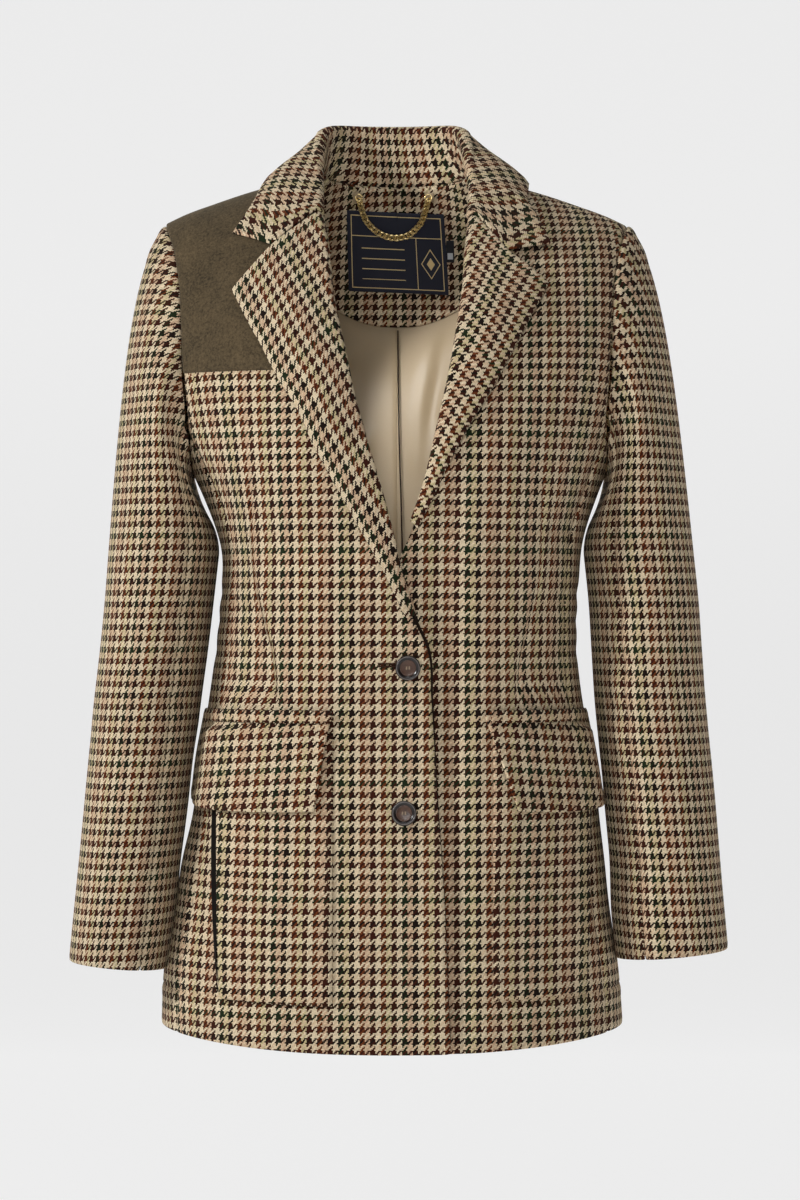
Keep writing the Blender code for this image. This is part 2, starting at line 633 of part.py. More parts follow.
# Fall's edge behind the ridge: distance from the middle, height
FALL_BACK = ((0.0, -0.012), (0.034, -0.014), (0.066, -0.018), (0.0945, -0.012))
COLLAR_OFF = 4.6 * MM
COLLAR_SHIFT = -0.003


def collar_station(side, index):
    # One cut across the collar: stand, fold and fall, as points of its middle surface
    leaf = LEAF[side]
    last = len(FOLD)
    gorge = np.array(leaf["gorge"])
    base_end = skin_at(side * gorge[0], gorge[1], FRONT, -TWEED / 2)
    n_end = unit(skin_at(side * gorge[0], gorge[1], FRONT, 0.01) - base_end)
    lower = skin_at(side * (gorge[0] - 0.002), gorge[1] - 0.02, FRONT, -TWEED / 2)
    out_end = unit(np.cross(n_end, unit(lower - base_end)))
    out_end = out_end * np.sign(out_end[0] * side)
    legs = (0.25, 0.62, 1.0)
    if index == last:
        radius = roll_radius(gorge[1])
        turns = np.radians(np.array(ROLL_SPREAD))
        arc = [base_end + radius * (-out_end * math.cos(t) + n_end * math.sin(t)) for t in turns]
        notch = np.array(leaf["notch"])
        tip = np.array(leaf["tip"])
        stops = [gorge + (notch - gorge) * t for t in (0.2, 0.47, 0.74, 1.0)]
        stops += [notch + (tip - notch) * t for t in (0.5, 1.0)]
        near = -TWEED / 2 + radius
        offs = [near + (COLLAR_OFF - near) * k / 6 + 0.003 * math.sin(math.pi * k / 6) for k in range(1, 7)]
        fall = [skin_at(side * p[0], p[1], FRONT, o) for p, o in zip(stops, offs)]
        stand = [base_end - n_end * radius + out_end * 0.008 * k for k in reversed(legs)]
        return np.array(stand + arc + fall)
    fold = np.array(FOLD[index]) * np.array([side, 1, 1])
    fold[0] += COLLAR_SHIFT * smoothstep(-0.02, 0.04, fold[2])
    x, z, face = FOOT[index]
    foot = skin_at(side * x, z, face, -COLLAR_CLOTH / 2) + np.array([0, 0, 0.0012])
    if index <= 3:
        ex, ez = FALL_BACK[index]
        end = skin_at(side * ex, ez, BACK, COLLAR_OFF)
    elif index == 4:
        end = skin(np.array(side * 0.1060), np.array(0.03), FRONT, COLLAR_OFF)
    else:
        ex, ez = leaf["edge"][index - 5]
        end = skin_at(side * ex, ez, FRONT, COLLAR_OFF)
    turn = (0, 0, 0, 0, 0.1, 0.45, 0.8)[index]
    radius = 4.6 * MM * (1 - turn) + roll_radius(gorge[1]) * turn
    flat_out = (end - fold) * np.array([1, 1, 0])
    over = unit(np.array([0, 0, 1.0]) * (1 - turn) - out_end * turn)
    outer = unit(unit(flat_out) * (1 - turn) + n_end * turn)
    outer = unit(outer - over * (outer * over).sum())
    centre = fold - over * radius
    turns = np.radians(np.array(ROLL_SPREAD))
    arc = [centre + radius * (over * math.cos(t) + outer * math.sin(t)) for t in turns]
    leg = centre - outer * radius
    stand = [foot, foot * 0.62 + leg * 0.38 - outer * 0.0005, foot * 0.25 + leg * 0.75]
    if index >= 5:
        stand = [leg - over * 0.009 * k for k in reversed(legs)]
    begin = centre + outer * radius
    swell = unit(outer + over * 0.8) * (0.010 * (1 - turn) + 0.004 * turn)
    middle = (begin + end) / 2 + swell
    fall = []
    for k in range(1, 7):
        t = k / 6
        fall.append((1 - t) ** 2 * begin + 2 * t * (1 - t) * middle + t * t * end)
    return np.array(stand + arc + fall)


def collar_grid(count):
    stations = []
    places = []
    spots = (0, 0.055, 0.11, 0.165, 0.235, 0.315, 0.40, 0.5)
    for side in (RIGHT, LEFT):
        for index in range(len(FOLD) + 1):
            if side == LEFT and index == 0:
                continue
            places.append(0.5 + side * spots[index])
            stations.append(collar_station(side, index))
    order = np.argsort(places)
    places = np.array(places)[order]
    stations = np.array(stations)[order]
    at = np.linspace(0, 1, count)
    return curve_points(places, stations, at)


def build_collar():
    mid = collar_grid(29)
    base, facing = cloud()
    fall = mid[:, 8:]
    least = np.full(fall.shape[:2], COLLAR_OFF)
    least[:, 0] = 2.5 * MM
    least[:, 1] = 3.6 * MM
    mid[:, 8:] = keep_off(fall, least, base, facing)
    n = grid_normals(mid)
    middle = mid.shape[0] // 2
    n = n * np.sign(n[middle, -3, 1])
    wall("collar", mid + n * COLLAR_CLOTH / 2, mid - n * COLLAR_CLOTH / 2, TWEED_COLOUR)


def build_inside():
    # Back neck facing and the lining under it, against the inside of the back
    lining_off = -TWEED - 2.1 * MM
    facing_off = -TWEED - 4.0 * MM
    facing_low = np.array([(0.0, -0.105), (0.02, -0.1035), (0.05, -0.092), (0.09, -0.060), (0.12, -0.034)])
    xs = np.linspace(-0.112, 0.112, 17)
    neck_end = NECK[-1, 0]
    own = np.abs(xs)
    top = np.where(own < neck_end, curve(NECK, np.minimum(own, neck_end)), curve(RIDGE, own))
    top = np.minimum(top, curve(RIDGE, own) - 0.004)
    low = curve(facing_low, np.abs(xs))
    v_top = v_at(xs, top)
    v_low = v_at(xs, low)
    t = np.linspace(0, 1, 6)[:, None]
    v = v_top + (v_low - v_top) * t
    x = xs[None, :] + 0 * v
    off = facing_off + 1.3 * MM * (1 - smoothstep(0, 0.5, t)) + 0 * x
    sheet("back_neck_facing", x, v, BACK, off, TWEED, TWEED_COLOUR)
    for side, name in ((RIGHT, "lining_right"), (LEFT, "lining_left")):
        own = np.linspace(SEAM / 2, 0.145, 8)
        start = np.minimum(curve(facing_low, np.minimum(own, 0.12)), -0.052) + 0.008
        start = v_at(own, start)
        ends = math.pi / 2 + (ROLL_END + 0.66) / DROP
        share = np.linspace(0, 1, 13)[:, None] ** 1.5
        v = start + (ends - start) * share
        z = surface(own[None, :] + 0 * v, v, BACK)[..., 2]
        wide = np.minimum(1.0, (curve(TORSO, z) * 0.77) / 0.145)
        x = curve(SWAY, z) * own[None, :] / 0.145 + side * own[None, :] * wide
        fold = 3.0 * MM * np.exp(-(np.abs(x) / 0.012) ** 2)
        sheet(name, x, v, BACK, lining_off - fold * share, SATIN, SATIN_COLOUR, 0.4)


def build_patch():
    # Shoulder patch, laid over the right front above the chest
    rows = [0.03] + ROWS_UPPER[1:9]
    columns = np.linspace(0, 1, 10)
    x, v = panel(RIGHT, FRONT, lambda z: 0.088 + 0 * z, SEAM_SHARE, rows, columns, 0.8 * MM)
    low = v_at(x[-1], PATCH_BOTTOM + 0 * x[-1])
    v = np.minimum(v, low)
    v[-1] = low
    sheet("gun_patch", x, v, FRONT, 0 * x + SEAM + PATCH_CLOTH, PATCH_CLOTH, (0.085, 0.065, 0.045), 0.95)


# Pockets by side: x of the inner and outer edges, flap corners and their heights, all on the own side
POCKET = {
    RIGHT: {"inner": 0.0508, "outer": 0.1400, "bottom": -0.6585,
            "flap_top": 0.0520, "flap_low": 0.0637, "welt": 0.0512},
    LEFT: {"inner": 0.0764, "outer": 0.1500, "bottom": -0.6560,
           "flap_top": 0.0693, "flap_low": 0.0921, "welt": 0.0735},
}
POCKET_ROWS = (-0.475, -0.505, -0.535, -0.565, -0.595, -0.625)
WELT_TOP, WELT_LOW = -0.4262, -0.4362
FLAP_TOP, FLAP_LOW = -0.4285, -0.5000
POCKET_TOP = -0.446
PROUD = 6.8 * MM  # how far the pocket's outer edge stands off
FLAP_END = math.radians(86)
WELT_CLOTH = 1.6 * MM


def angle_at(side, x, z):
    return angle_of((x - side * curve(SWAY, z)) / curve(TORSO, z))


def pocket_off(share):
    return LAY + TWEED + (PROUD - LAY - TWEED) * smoothstep(0.45, 1.0, share)


def front_lie(side, point_x, z):
    # Extra depth where the front itself lies inward
    return -under_dip(point_x, z) if side == LEFT else 0 * z


def build_pockets():
    for side, tag in ((RIGHT, "right"), (LEFT, "left")):
        shape = POCKET[side]
        z_rows = np.array([POCKET_TOP, *POCKET_ROWS, shape["bottom"]])[:, None]
        share = np.array([0, 0.12, 0.3, 0.48, 0.64, 0.8, 0.92, 1.0])[None, :]
        bottom = smoothstep(-0.60, shape["bottom"], z_rows)
        a0 = angle_at(side, shape["inner"], z_rows)
        a1 = angle_at(side, shape["outer"], z_rows)
        a = a0 + (a1 - a0) * share
        rise = lift(side * curve(TORSO, z_rows) * np.abs(np.sin(a)) ** (2 / FORM), z_rows)
        z = z_rows + rise * 0.9
        off = np.maximum(pocket_off(share) * (1 - 0.45 * bottom), LAY + TWEED)
        off = off + front_lie(side, curve(TORSO, z) * np.sin(a), z)
        wall("pocket_" + tag, around(a, z, side, off), around(a, z, side, off - TWEED), TWEED_COLOUR)
        z_rows = np.array([FLAP_TOP, WELT_LOW - 0.0012, -0.4452, -0.462, -0.482, FLAP_LOW])[:, None]
        down = np.clip((FLAP_TOP - z_rows) / (FLAP_TOP - FLAP_LOW), 0, 1)
        x0 = shape["flap_top"] + (shape["flap_low"] - shape["flap_top"]) * down
        a0 = angle_at(side, x0, z_rows)
        share = np.linspace(0, 1, 11)[None, :]
        a = a0 + (FLAP_END - a0) * share
        z = z_rows + 0 * a
        inner_a = angle_at(side, shape["inner"], z)
        outer_a = angle_at(side, shape["outer"], z)
        under = pocket_off(np.clip((a - inner_a) / (outer_a - inner_a), 0, 1))
        under = under * smoothstep(math.radians(88), outer_a + 0.03, a)
        hang = smoothstep(WELT_LOW - 0.0012, -0.4452, z)
        off = (LAY * 1.4 + TWEED) * (1 - hang) + (under + LAY + TWEED) * hang + 0.0010 * down
        off = off + front_lie(side, curve(TORSO, z) * np.sin(a), z)
        wall("flap_" + tag, around(a, z, side, off), around(a, z, side, off - TWEED), TWEED_COLOUR)
        z_rows = np.array([WELT_TOP, WELT_LOW])[:, None]
        a0 = angle_at(side, shape["welt"], z_rows)
        a = a0 + (FLAP_END - a0) * np.linspace(0, 1, 11)[None, :]
        z = z_rows + 0 * a
        off = LAY * 1.4 + TWEED + SEAM * 2 + WELT_CLOTH + 0 * a
        off = off + front_lie(side, curve(TORSO, z) * np.sin(a), z)
        wall("welt_" + tag, around(a, z, side, off), around(a, z, side, off - WELT_CLOTH), TWEED_COLOUR)


def revolve(name, profile, centre, axis, segments, colour, rough, metal=0.0):
    # A closed body turned round an axis from (radius, height) rows; first and last radius are zero
    axis = unit(np.asarray(axis, float))
    side = unit(np.cross(axis, np.array([0, 0, 1.0])))
    up = np.cross(side, axis)
    turns = np.linspace(0, 2 * math.pi, segments, endpoint=False)
    points = [centre + axis * profile[0][1]]
    for radius, height in profile[1:-1]:
        for t in turns:
            points.append(centre + axis * height + radius * (side * math.cos(t) + up * math.sin(t)))
    points.append(centre + axis * profile[-1][1])
    triangles = []
    rings = len(profile) - 2
    for k in range(segments):
        n = (k + 1) % segments
        triangles.append((0, 1 + n, 1 + k))
        for r in range(rings - 1):
            a, b = 1 + r * segments + k, 1 + r * segments + n
            c, d = a + segments, b + segments
            triangles.append((a, b, d))
            triangles.append((a, d, c))
        base = 1 + (rings - 1) * segments
        triangles.append((base + k, base + n, len(points) - 1))
    return solid(name, points, triangles, colour, rough, metal)


# Name, x, z and height over the front: their facets differ under each
BUTTONS = (("button_upper", 0.0087, -0.3915, 1.0 * MM), ("button_lower", 0.0056, -0.5065, 0.4 * MM))
BUTTON_RADIUS = 0.010


def build_buttons():
    r = BUTTON_RADIUS
    profile = ((0, 0.0), (r * 0.80, 0.0), (r * 0.97, 0.0012), (r, 0.0022), (r * 0.95, 0.0036),
               (r * 0.80, 0.0040), (r * 0.66, 0.0034), (r * 0.52, 0.0026), (0, 0.0024))
    for name, x, z, seat in BUTTONS:
        centre = skin_at(x, z, FRONT, seat)
        axis = centre - skin_at(x, z, FRONT, 0.0)
        revolve(name, profile, centre, axis, 24, (0.045, 0.028, 0.022), 0.35)


def inside_sheet(name, x, z, off, thick, colour, rough):
    x = np.asarray(x, float)
    z = np.asarray(z, float)
    return wall(name, skin_at(x, z, BACK, off), skin_at(x, z, BACK, off - thick), colour, rough)


LABEL_OFF = -2 * TWEED - 4.6 * MM
TAB_OFF = -2 * TWEED - 4.0 * MM
# Chain's hang from one tab to the other: x, z
CHAIN = ((-0.0356, 0.0015), (-0.0302, -0.0130), (-0.0222, -0.0215), (-0.0140, -0.0265), (-0.0057, -0.0290),
         (0.0025, -0.0290), (0.0107, -0.0270), (0.0172, -0.0220), (0.0222, -0.0170), (0.0262, -0.0085),
         (0.0294, 0.0015))


def tube(name, path, radius, sides, colour, rough, metal):
    path = np.asarray(path)
    along = unit(np.gradient(path, axis=0))
    out = np.array([0, 1.0, 0])
    a = unit(out - along * (along @ out)[:, None])
    b = np.cross(along, a)
    turns = np.linspace(0, 2 * math.pi, sides, endpoint=False)
    ring = a[:, None] * np.cos(turns)[None, :, None] + b[:, None] * np.sin(turns)[None, :, None]
    points = (path[:, None] + ring * radius).reshape(-1, 3).tolist()
    n = len(path)
    triangles = []
    for i in range(n - 1):
        for k in range(sides):
            p, q = i * sides + k, i * sides + (k + 1) % sides
            triangles.append((p, q, q + sides))
            triangles.append((p, q + sides, p + sides))
    for end, centre in ((0, path[0]), (n - 1, path[-1])):
        points.append(list(centre))
        hub = len(points) - 1
        for k in range(sides):
            p, q = end * sides + k, end * sides + (k + 1) % sides
            triangles.append((hub, q, p) if end == 0 else (hub, p, q))
    return solid(name, points, triangles, colour, rough, metal)


def build_trims():
    xs = np.linspace(0, 1, 7)[None, :]
    zs = np.linspace(0, 1, 5)[:, None]
    x = -0.0450 + 0.087 * xs + 0.003 * zs
    z = -0.0100 - 0.066 * zs - 0.0035 * (xs - 0.5)
    inside_sheet("label", x, z + 0 * x, LABEL_OFF, 0.5 * MM, (0.012, 0.018, 0.045), 0.5)
    x = 0.0438 + 0.0066 * np.linspace(0, 1, 3)[None, :]
    z = -0.0330 - 0.0175 * np.linspace(0, 1, 3)[:, None]
    x, z = np.broadcast_arrays(x, z)
    inside_sheet("size_tab", x, z, LABEL_OFF, 0.5 * MM, (0.01, 0.01, 0.012), 0.6)
    chain = np.array(CHAIN)
    at = np.linspace(0, 1, 25)
    line = curve_points(np.linspace(0, 1, len(chain)), chain, at)
    bulge = 1.9 * MM * np.minimum(1, 2.4 * np.sin(math.pi * at))
    path = skin_at(line[:, 0], line[:, 1], BACK, TAB_OFF - 2.6 * MM - bulge)
    tube("hanger_chain", path, 1.5 * MM, 8, (0.65, 0.45, 0.18), 0.3, 1.0)
    for name, cx in (("chain_tab_right", -0.0362), ("chain_tab_left", 0.0300)):
        x = cx + np.linspace(-0.0035, 0.0035, 3)[None, :]
        z = 0.0055 - np.linspace(0, 0.0065, 3)[:, None]
        x, z = np.broadcast_arrays(x, z)
        inside_sheet(name, x, z, TAB_OFF, 0.8 * MM, SATIN_COLOUR, 0.45)


build_fronts()
build_backs()
build_sides()
build_sleeves()
build_lapels()
build_collar()
build_inside()
build_patch()
build_pockets()
build_buttons()
build_trims()
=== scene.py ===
import math

import bpy
import numpy as np
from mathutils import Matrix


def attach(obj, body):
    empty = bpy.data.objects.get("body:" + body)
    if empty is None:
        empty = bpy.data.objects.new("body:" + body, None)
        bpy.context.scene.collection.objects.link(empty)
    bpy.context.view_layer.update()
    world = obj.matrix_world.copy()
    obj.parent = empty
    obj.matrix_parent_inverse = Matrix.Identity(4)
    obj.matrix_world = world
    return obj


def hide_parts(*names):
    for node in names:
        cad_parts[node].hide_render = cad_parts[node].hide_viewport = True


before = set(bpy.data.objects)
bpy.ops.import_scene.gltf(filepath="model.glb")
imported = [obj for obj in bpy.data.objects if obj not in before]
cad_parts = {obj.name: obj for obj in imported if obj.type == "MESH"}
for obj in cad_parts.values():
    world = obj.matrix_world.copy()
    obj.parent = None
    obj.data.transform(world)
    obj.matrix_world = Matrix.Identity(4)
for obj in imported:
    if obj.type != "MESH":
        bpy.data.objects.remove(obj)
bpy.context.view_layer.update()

mm = 0.001
rightAngle = math.pi / 2
onRight, onLeft = -1, 1
sides = ((onRight, "right"), (onLeft, "left"))
atFront, atBack = -1, 1
tweedThick, collarThick, patchThick, satinThick, weltThick = 2.2 * mm, 3.0 * mm, 1.8 * mm, 1.0 * mm, 1.6 * mm
layGap = 0.8 * mm  # gap under a piece that lies on another


def smoothstep(low, high, value):
    t = np.clip((value - low) / (high - low), 0, 1)
    return t * t * (3 - 2 * t)


def bell(value, width):
    return np.exp(-(value / width) ** 2)


def signedPower(value, power):
    return np.sign(value) * np.abs(value) ** power


def unit(v):
    return v / np.maximum(np.linalg.norm(v, axis=-1, keepdims=True), 1e-12)


def runs(points, axis=0):
    # Length along a line or a grid of points from its start, one value a point
    step = np.linalg.norm(np.diff(points, axis=axis), axis=-1)
    return np.concatenate([0 * np.take(step, [0], axis=axis), np.cumsum(step, axis=axis)], axis=axis)


def curve(table, at, column=1):
    # Smooth value read from a table, as a cubic between its rows
    order = np.argsort(table[:, 0])
    xs = table[order, 0]
    ys = table[order, column]
    step = np.diff(xs)
    rise = np.diff(ys) / step
    inner = (rise[:-1] * step[1:] + rise[1:] * step[:-1]) / (step[1:] + step[:-1])
    slope = np.concatenate([rise[:1], inner, rise[-1:]])
    at = np.clip(at, xs[0], xs[-1])
    i = np.clip(np.searchsorted(xs, at) - 1, 0, len(xs) - 2)
    t = (at - xs[i]) / step[i]
    a = (1 + 2 * t) * (1 - t) ** 2 * ys[i] + t * (1 - t) ** 2 * step[i] * slope[i]
    return a + t * t * (3 - 2 * t) * ys[i + 1] + t * t * (t - 1) * step[i] * slope[i + 1]


def curvePoints(places, points, at):
    # The same smooth curve through listed points, one column each
    points = np.asarray(points, float)
    flat = points.reshape(len(points), -1)
    out = [curve(np.column_stack([places, column]), at) for column in flat.T]
    return np.stack(out, axis=-1).reshape((len(at),) + points.shape[1:])


cameraPlan = {"place": (0.0025, -3.2, -0.338), "sensor": 36.0, "pictureHeight": 0.984}
lampPlan = {  # place, size, power
    "key": ((-3.0, -1.55, 1.2), 0.5, 84.0),
    "fill": ((-0.3, -3.2, 0.5), 1.0, 23.0),
    "top": ((0.1, -1.6, 2.2), 1.0, 12.0),
}
lampAim = (0.0, 0.0, -0.35)
neckLamp = {"place": (-0.045, -0.045, -0.115), "turn": (66, 0, -46), "power": 0.9, "cone": 76, "blend": 0.5, "soft": 0.008}
surroundPlan = {"colour": (1.0, 0.985, 0.97, 1.0), "strength": 0.04}
floorPlan = {"height": -1.25, "wall": 6.2, "radius": 1.6, "half": 12.0, "near": -9.0, "top": 9.0, "grey": 0.30, "glow": 0.69}


def addObject(name, data, place=(0, 0, 0), turn=(0, 0, 0)):
    made = bpy.data.objects.new(name, data)
    made.location = place
    made.rotation_euler = turn
    bpy.context.scene.collection.objects.link(made)
    return made


def buildCamera():
    # The photograph's level view from the front
    view = bpy.data.cameras.new("camera")
    view.sensor_width = cameraPlan["sensor"]
    view.lens = view.sensor_width * -cameraPlan["place"][1] / cameraPlan["pictureHeight"]
    bpy.context.scene.camera = addObject("camera", view, cameraPlan["place"], (rightAngle, 0, 0))


def buildLights():
    # Soft lamps round the front, one inside the neck for the lining, and a dim surround
    for name, (place, size, power) in lampPlan.items():
        lamp = bpy.data.lights.new(name, "AREA")
        lamp.size = size
        lamp.energy = power
        aim = unit(np.array(lampAim) - np.array(place))
        addObject(name, lamp, place, (math.acos(-aim[2]), 0, math.atan2(aim[1], aim[0]) - rightAngle))
    lamp = bpy.data.lights.new("neck", "SPOT")
    lamp.energy = neckLamp["power"]
    lamp.spot_size = math.radians(neckLamp["cone"])
    lamp.spot_blend = neckLamp["blend"]
    lamp.shadow_soft_size = neckLamp["soft"]
    addObject("neck", lamp, neckLamp["place"], np.radians(neckLamp["turn"]))
    surround = bpy.data.worlds.new("surround")
    surround.use_nodes = True
    back = surround.node_tree.nodes["Background"]
    back.inputs["Color"].default_value = surroundPlan["colour"]
    back.inputs["Strength"].default_value = surroundPlan["strength"]
    bpy.context.scene.world = surround


def buildFloor():
    # A plain floor that curves up into a wall behind
    plan = floorPlan
    low, radius, bendY = plan["height"], plan["radius"], plan["wall"] - plan["radius"]
    bend = [(bendY + radius * math.sin(t), low + radius - radius * math.cos(t)) for t in np.linspace(0, rightAngle, 24)]
    profile = [(plan["near"], low), *bend, (plan["wall"], plan["top"])]
    points = [(x, y, z) for y, z in profile for x in (-plan["half"], plan["half"])]
    faces = [(2 * k, 2 * k + 1, 2 * k + 3, 2 * k + 2) for k in range(len(profile) - 1)]
    mesh = bpy.data.meshes.new("floor")
    mesh.from_pydata(points, [], faces)
    mesh.polygons.foreach_set("use_smooth", [True] * len(faces))
    paint = bpy.data.materials.new("floor")
    paint.use_nodes = True
    shader = paint.node_tree.nodes["Principled BSDF"]
    shader.inputs["Base Color"].default_value = (plan["grey"], plan["grey"], plan["grey"], 1.0)
    shader.inputs["Roughness"].default_value = 0.9
    shader.inputs["Emission Color"].default_value = (1.0, 1.0, 1.0, 1.0)
    shader.inputs["Emission Strength"].default_value = plan["glow"]
    mesh.materials.append(paint)
    addObject("floor", mesh)


buildCamera()
buildLights()
buildFloor()
bpy.context.scene.view_settings.view_transform = "Standard"
print("camera, lights and floor made")

formPower = 2.3  # exponent of the torso's section
turnPower = 1.8  # exponent of the shoulder's roll-over
ridgeY = 0.012
rollEnd = -0.16066  # height where the roll-over ends
rowDrop = 0.1  # fall of one unit of the row parameter below it
hemHeight = -0.6955
hemLift = 0.013  # the hem's rise at the sides, from liftFrom down
liftFrom = -0.43
ringMid, ringRadius = -0.134, 0.103  # the armhole
underArm = 135  # degrees round the armhole where the side panel begins
seamShare = 0.925  # front and side panels meet here, as a share of the half width
seamGap = 0.15 * mm
# Torso sections: height, half width, front depth, back depth
torsoRows = np.array([
    (0.070, 0.205, 0.080, 0.092), (0.000, 0.205, 0.091, 0.100), (-0.034, 0.205, 0.099, 0.105),
    (-0.100, 0.200, 0.113, 0.113), (-0.150, 0.197, 0.125, 0.115), (-0.190, 0.188, 0.134, 0.113),
    (-0.215, 0.178, 0.138, 0.111), (-0.235, 0.169, 0.139, 0.109), (-0.256, 0.160, 0.137, 0.106),
    (-0.293, 0.1480, 0.129, 0.100), (-0.338, 0.1465, 0.120, 0.096), (-0.379, 0.148, 0.114, 0.098),
    (-0.420, 0.153, 0.112, 0.104), (-0.469, 0.162, 0.117, 0.113), (-0.518, 0.1665, 0.122, 0.120),
    (-0.584, 0.174, 0.127, 0.126), (-0.633, 0.182, 0.130, 0.130), (-0.681, 0.188, 0.133, 0.133),
    (-0.730, 0.193, 0.136, 0.136),
])
# Sideways sway of the sections: height, shift
swayRows = np.array([
    (0.0, 0.0), (-0.20, 0.001), (-0.27, 0.003), (-0.31, 0.0035),
    (-0.34, 0.0015), (-0.38, -0.0005), (-0.50, -0.0005), (-0.60, -0.003), (-0.73, -0.004),
])
# Shoulder ridge, and the back's neck edge: distance from the middle, height
ridgeRows = np.array([
    (0.0, 0.062), (0.02, 0.0535), (0.044, 0.034), (0.0575, 0.0205), (0.0625, 0.016), (0.07, 0.012),
    (0.10, 0.0015), (0.125, -0.006), (0.15, -0.0145), (0.172, -0.0225), (0.19, -0.031), (0.22, -0.046),
])
neckRows = np.array([(0.0, 0.007), (0.024, 0.0075), (0.044, 0.009), (0.0575, 0.0115), (0.0625, 0.0158)])
neckEnd = neckRows[-1, 0]
# Armhole seam: height, distance from the middle
armholeRows = np.array([
    (0.0, 0.190), (-0.031, 0.190), (-0.05, 0.183), (-0.078, 0.177), (-0.118, 0.1738),
    (-0.16, 0.1715), (-0.19, 0.169), (-0.2073, 0.1674), (-0.24, 0.160),
])
armholeLow = -0.2073
# A front's inner edge: height, distance on its own side (negative crosses over)
openingRight = np.array([
    (0.03, 0.0700), (0.0, 0.0690), (-0.024, 0.0655), (-0.0524, 0.0600), (-0.0966, 0.0552), (-0.1242, 0.0494),
    (-0.14, 0.0455), (-0.1717, 0.0390), (-0.2034, 0.0302), (-0.2232, 0.0246), (-0.2477, 0.0172),
    (-0.283, 0.0077), (-0.3003, 0.0037), (-0.3262, -0.0028), (-0.3498, -0.0112), (-0.3773, -0.0236),
    (-0.4167, -0.0268), (-0.495, -0.0315), (-0.574, -0.0370), (-0.652, -0.0401), (-0.73, -0.0440),
])
openingLeft = np.array([
    (0.03, 0.0690), (0.0, 0.0680), (-0.024, 0.0640), (-0.0564, 0.0600), (-0.0886, 0.0574), (-0.1203, 0.0526),
    (-0.144, 0.0486), (-0.1678, 0.0438), (-0.1915, 0.0382), (-0.2202, 0.0315), (-0.2438, 0.0258),
    (-0.2712, 0.0172), (-0.2948, 0.0078), (-0.32, -0.0050), (-0.36, -0.0180), (-0.45, -0.0240), (-0.73, -0.0260),
])


def bust(x, z):
    return 8.0 * mm * bell(np.abs(x) - 0.08, 0.055) * bell(z + 0.225, 0.065)


def rowBelow(z):
    # The row parameter at a height under the roll-over
    return rightAngle + (rollEnd - z) / rowDrop


def surface(x, v, face):
    # Outer face of the torso: v is 0 on the shoulder ridge and a right angle where the roll-over ends.
    # Below, each section is a superellipse, which the roll-over blends into the ridge
    top = curve(ridgeRows, np.abs(x))
    angle = np.clip(v, -0.3, rightAngle)
    fall = np.abs(np.cos(angle)) ** (2 / turnPower)
    z = top - (top - rollEnd) * (1 - fall) - np.maximum(v - rightAngle, 0) * rowDrop
    across = np.abs((x - curve(swayRows, z)) / curve(torsoRows, z))
    share = np.clip(1 - across ** formPower, 0, 1) ** (1 / formPower)
    deep = -curve(torsoRows, z, 2) - bust(x, z) if face == atFront else curve(torsoRows, z, 3)
    y = ridgeY + (deep * share - ridgeY) * signedPower(np.sin(angle), 2 / turnPower)
    return np.stack([x, y, z], axis=-1)


def vAt(x, z):
    # The row parameter at a height
    top = curve(ridgeRows, np.abs(x))
    left = np.clip(1 - (top - z) / (top - rollEnd), 0, 1)
    return np.where(z < rollEnd, rowBelow(z), np.arccos(left ** (turnPower / 2)))


def normals(x, v, face):
    step, turn = 0.0008, 0.012
    along = surface(x + step, v, face) - surface(x - step, v, face)
    down = surface(x, v + turn, face) - surface(x, v - turn, face)
    return unit(np.cross(along, down)) * face


def skin(x, v, face, off=0.0):
    # A point held off the torso's outer face
    return surface(x, v, face) + normals(x, v, face) * np.asarray(off + 0 * x)[..., None]


def skinAt(x, z, face, off=0.0):
    x, z, off = np.broadcast_arrays(np.asarray(x, float), z, off)
    return skin(x, vAt(x, z), face, off)


def outwardAt(x, z, face):
    return unit(skinAt(x, z, face, 0.01) - skinAt(x, z, face))


def around(a, z, side, off=0.0):
    # The torso below the armhole by section angle: 0 front middle, 90 degrees the side
    a, z, off = np.broadcast_arrays(np.asarray(a, float), z, off)

    def at(a, z):
        lobe = np.abs(np.cos(a)) ** (2 / formPower)
        x = curve(swayRows, z) + side * curve(torsoRows, z) * signedPower(np.sin(a), 2 / formPower)
        y = np.where(np.cos(a) > 0, -lobe * (curve(torsoRows, z, 2) + bust(x, z)), lobe * curve(torsoRows, z, 3))
        return np.stack([x, y, z], axis=-1)

    along = at(a + 0.01, z) - at(a - 0.01, z)
    up = at(a, z + 0.001) - at(a, z - 0.001)
    return at(a, z) + unit(np.cross(along, up)) * side * off[..., None]


def angleOf(share):
    return np.arcsin(signedPower(np.clip(share, -1, 1), formPower / 2))


def angleAt(side, own, z):
    # Section angle at a distance on the panel's own side
    return angleOf((own - side * curve(swayRows, z)) / curve(torsoRows, z))


def ownX(side, low, high, u, z):
    # x between two distances on a panel's own side, evenly by section angle
    a = angleAt(side, low, z)
    angle = a + (angleAt(side, high, z) - a) * u
    return curve(swayRows, z) + side * curve(torsoRows, z) * signedPower(np.sin(angle), 2 / formPower)


def seamX(z, side):
    # Outer edge of a front or back panel: the armhole, then the side seam
    low = side * curve(swayRows, z) + seamShare * curve(torsoRows, z)
    blend = smoothstep(armholeLow, -0.19, z)
    return np.where(z < armholeLow, low, curve(armholeRows, z) * blend + low * (1 - blend))


def hemFade(z):
    return np.clip((liftFrom - z) / (liftFrom - hemHeight), 0, 1) ** 2


def lift(x, z):
    # The hem's rise toward the sides
    share = np.clip(np.abs((x - curve(swayRows, z)) / curve(torsoRows, z)), 0, 1)
    return hemLift * share ** formPower * hemFade(z)


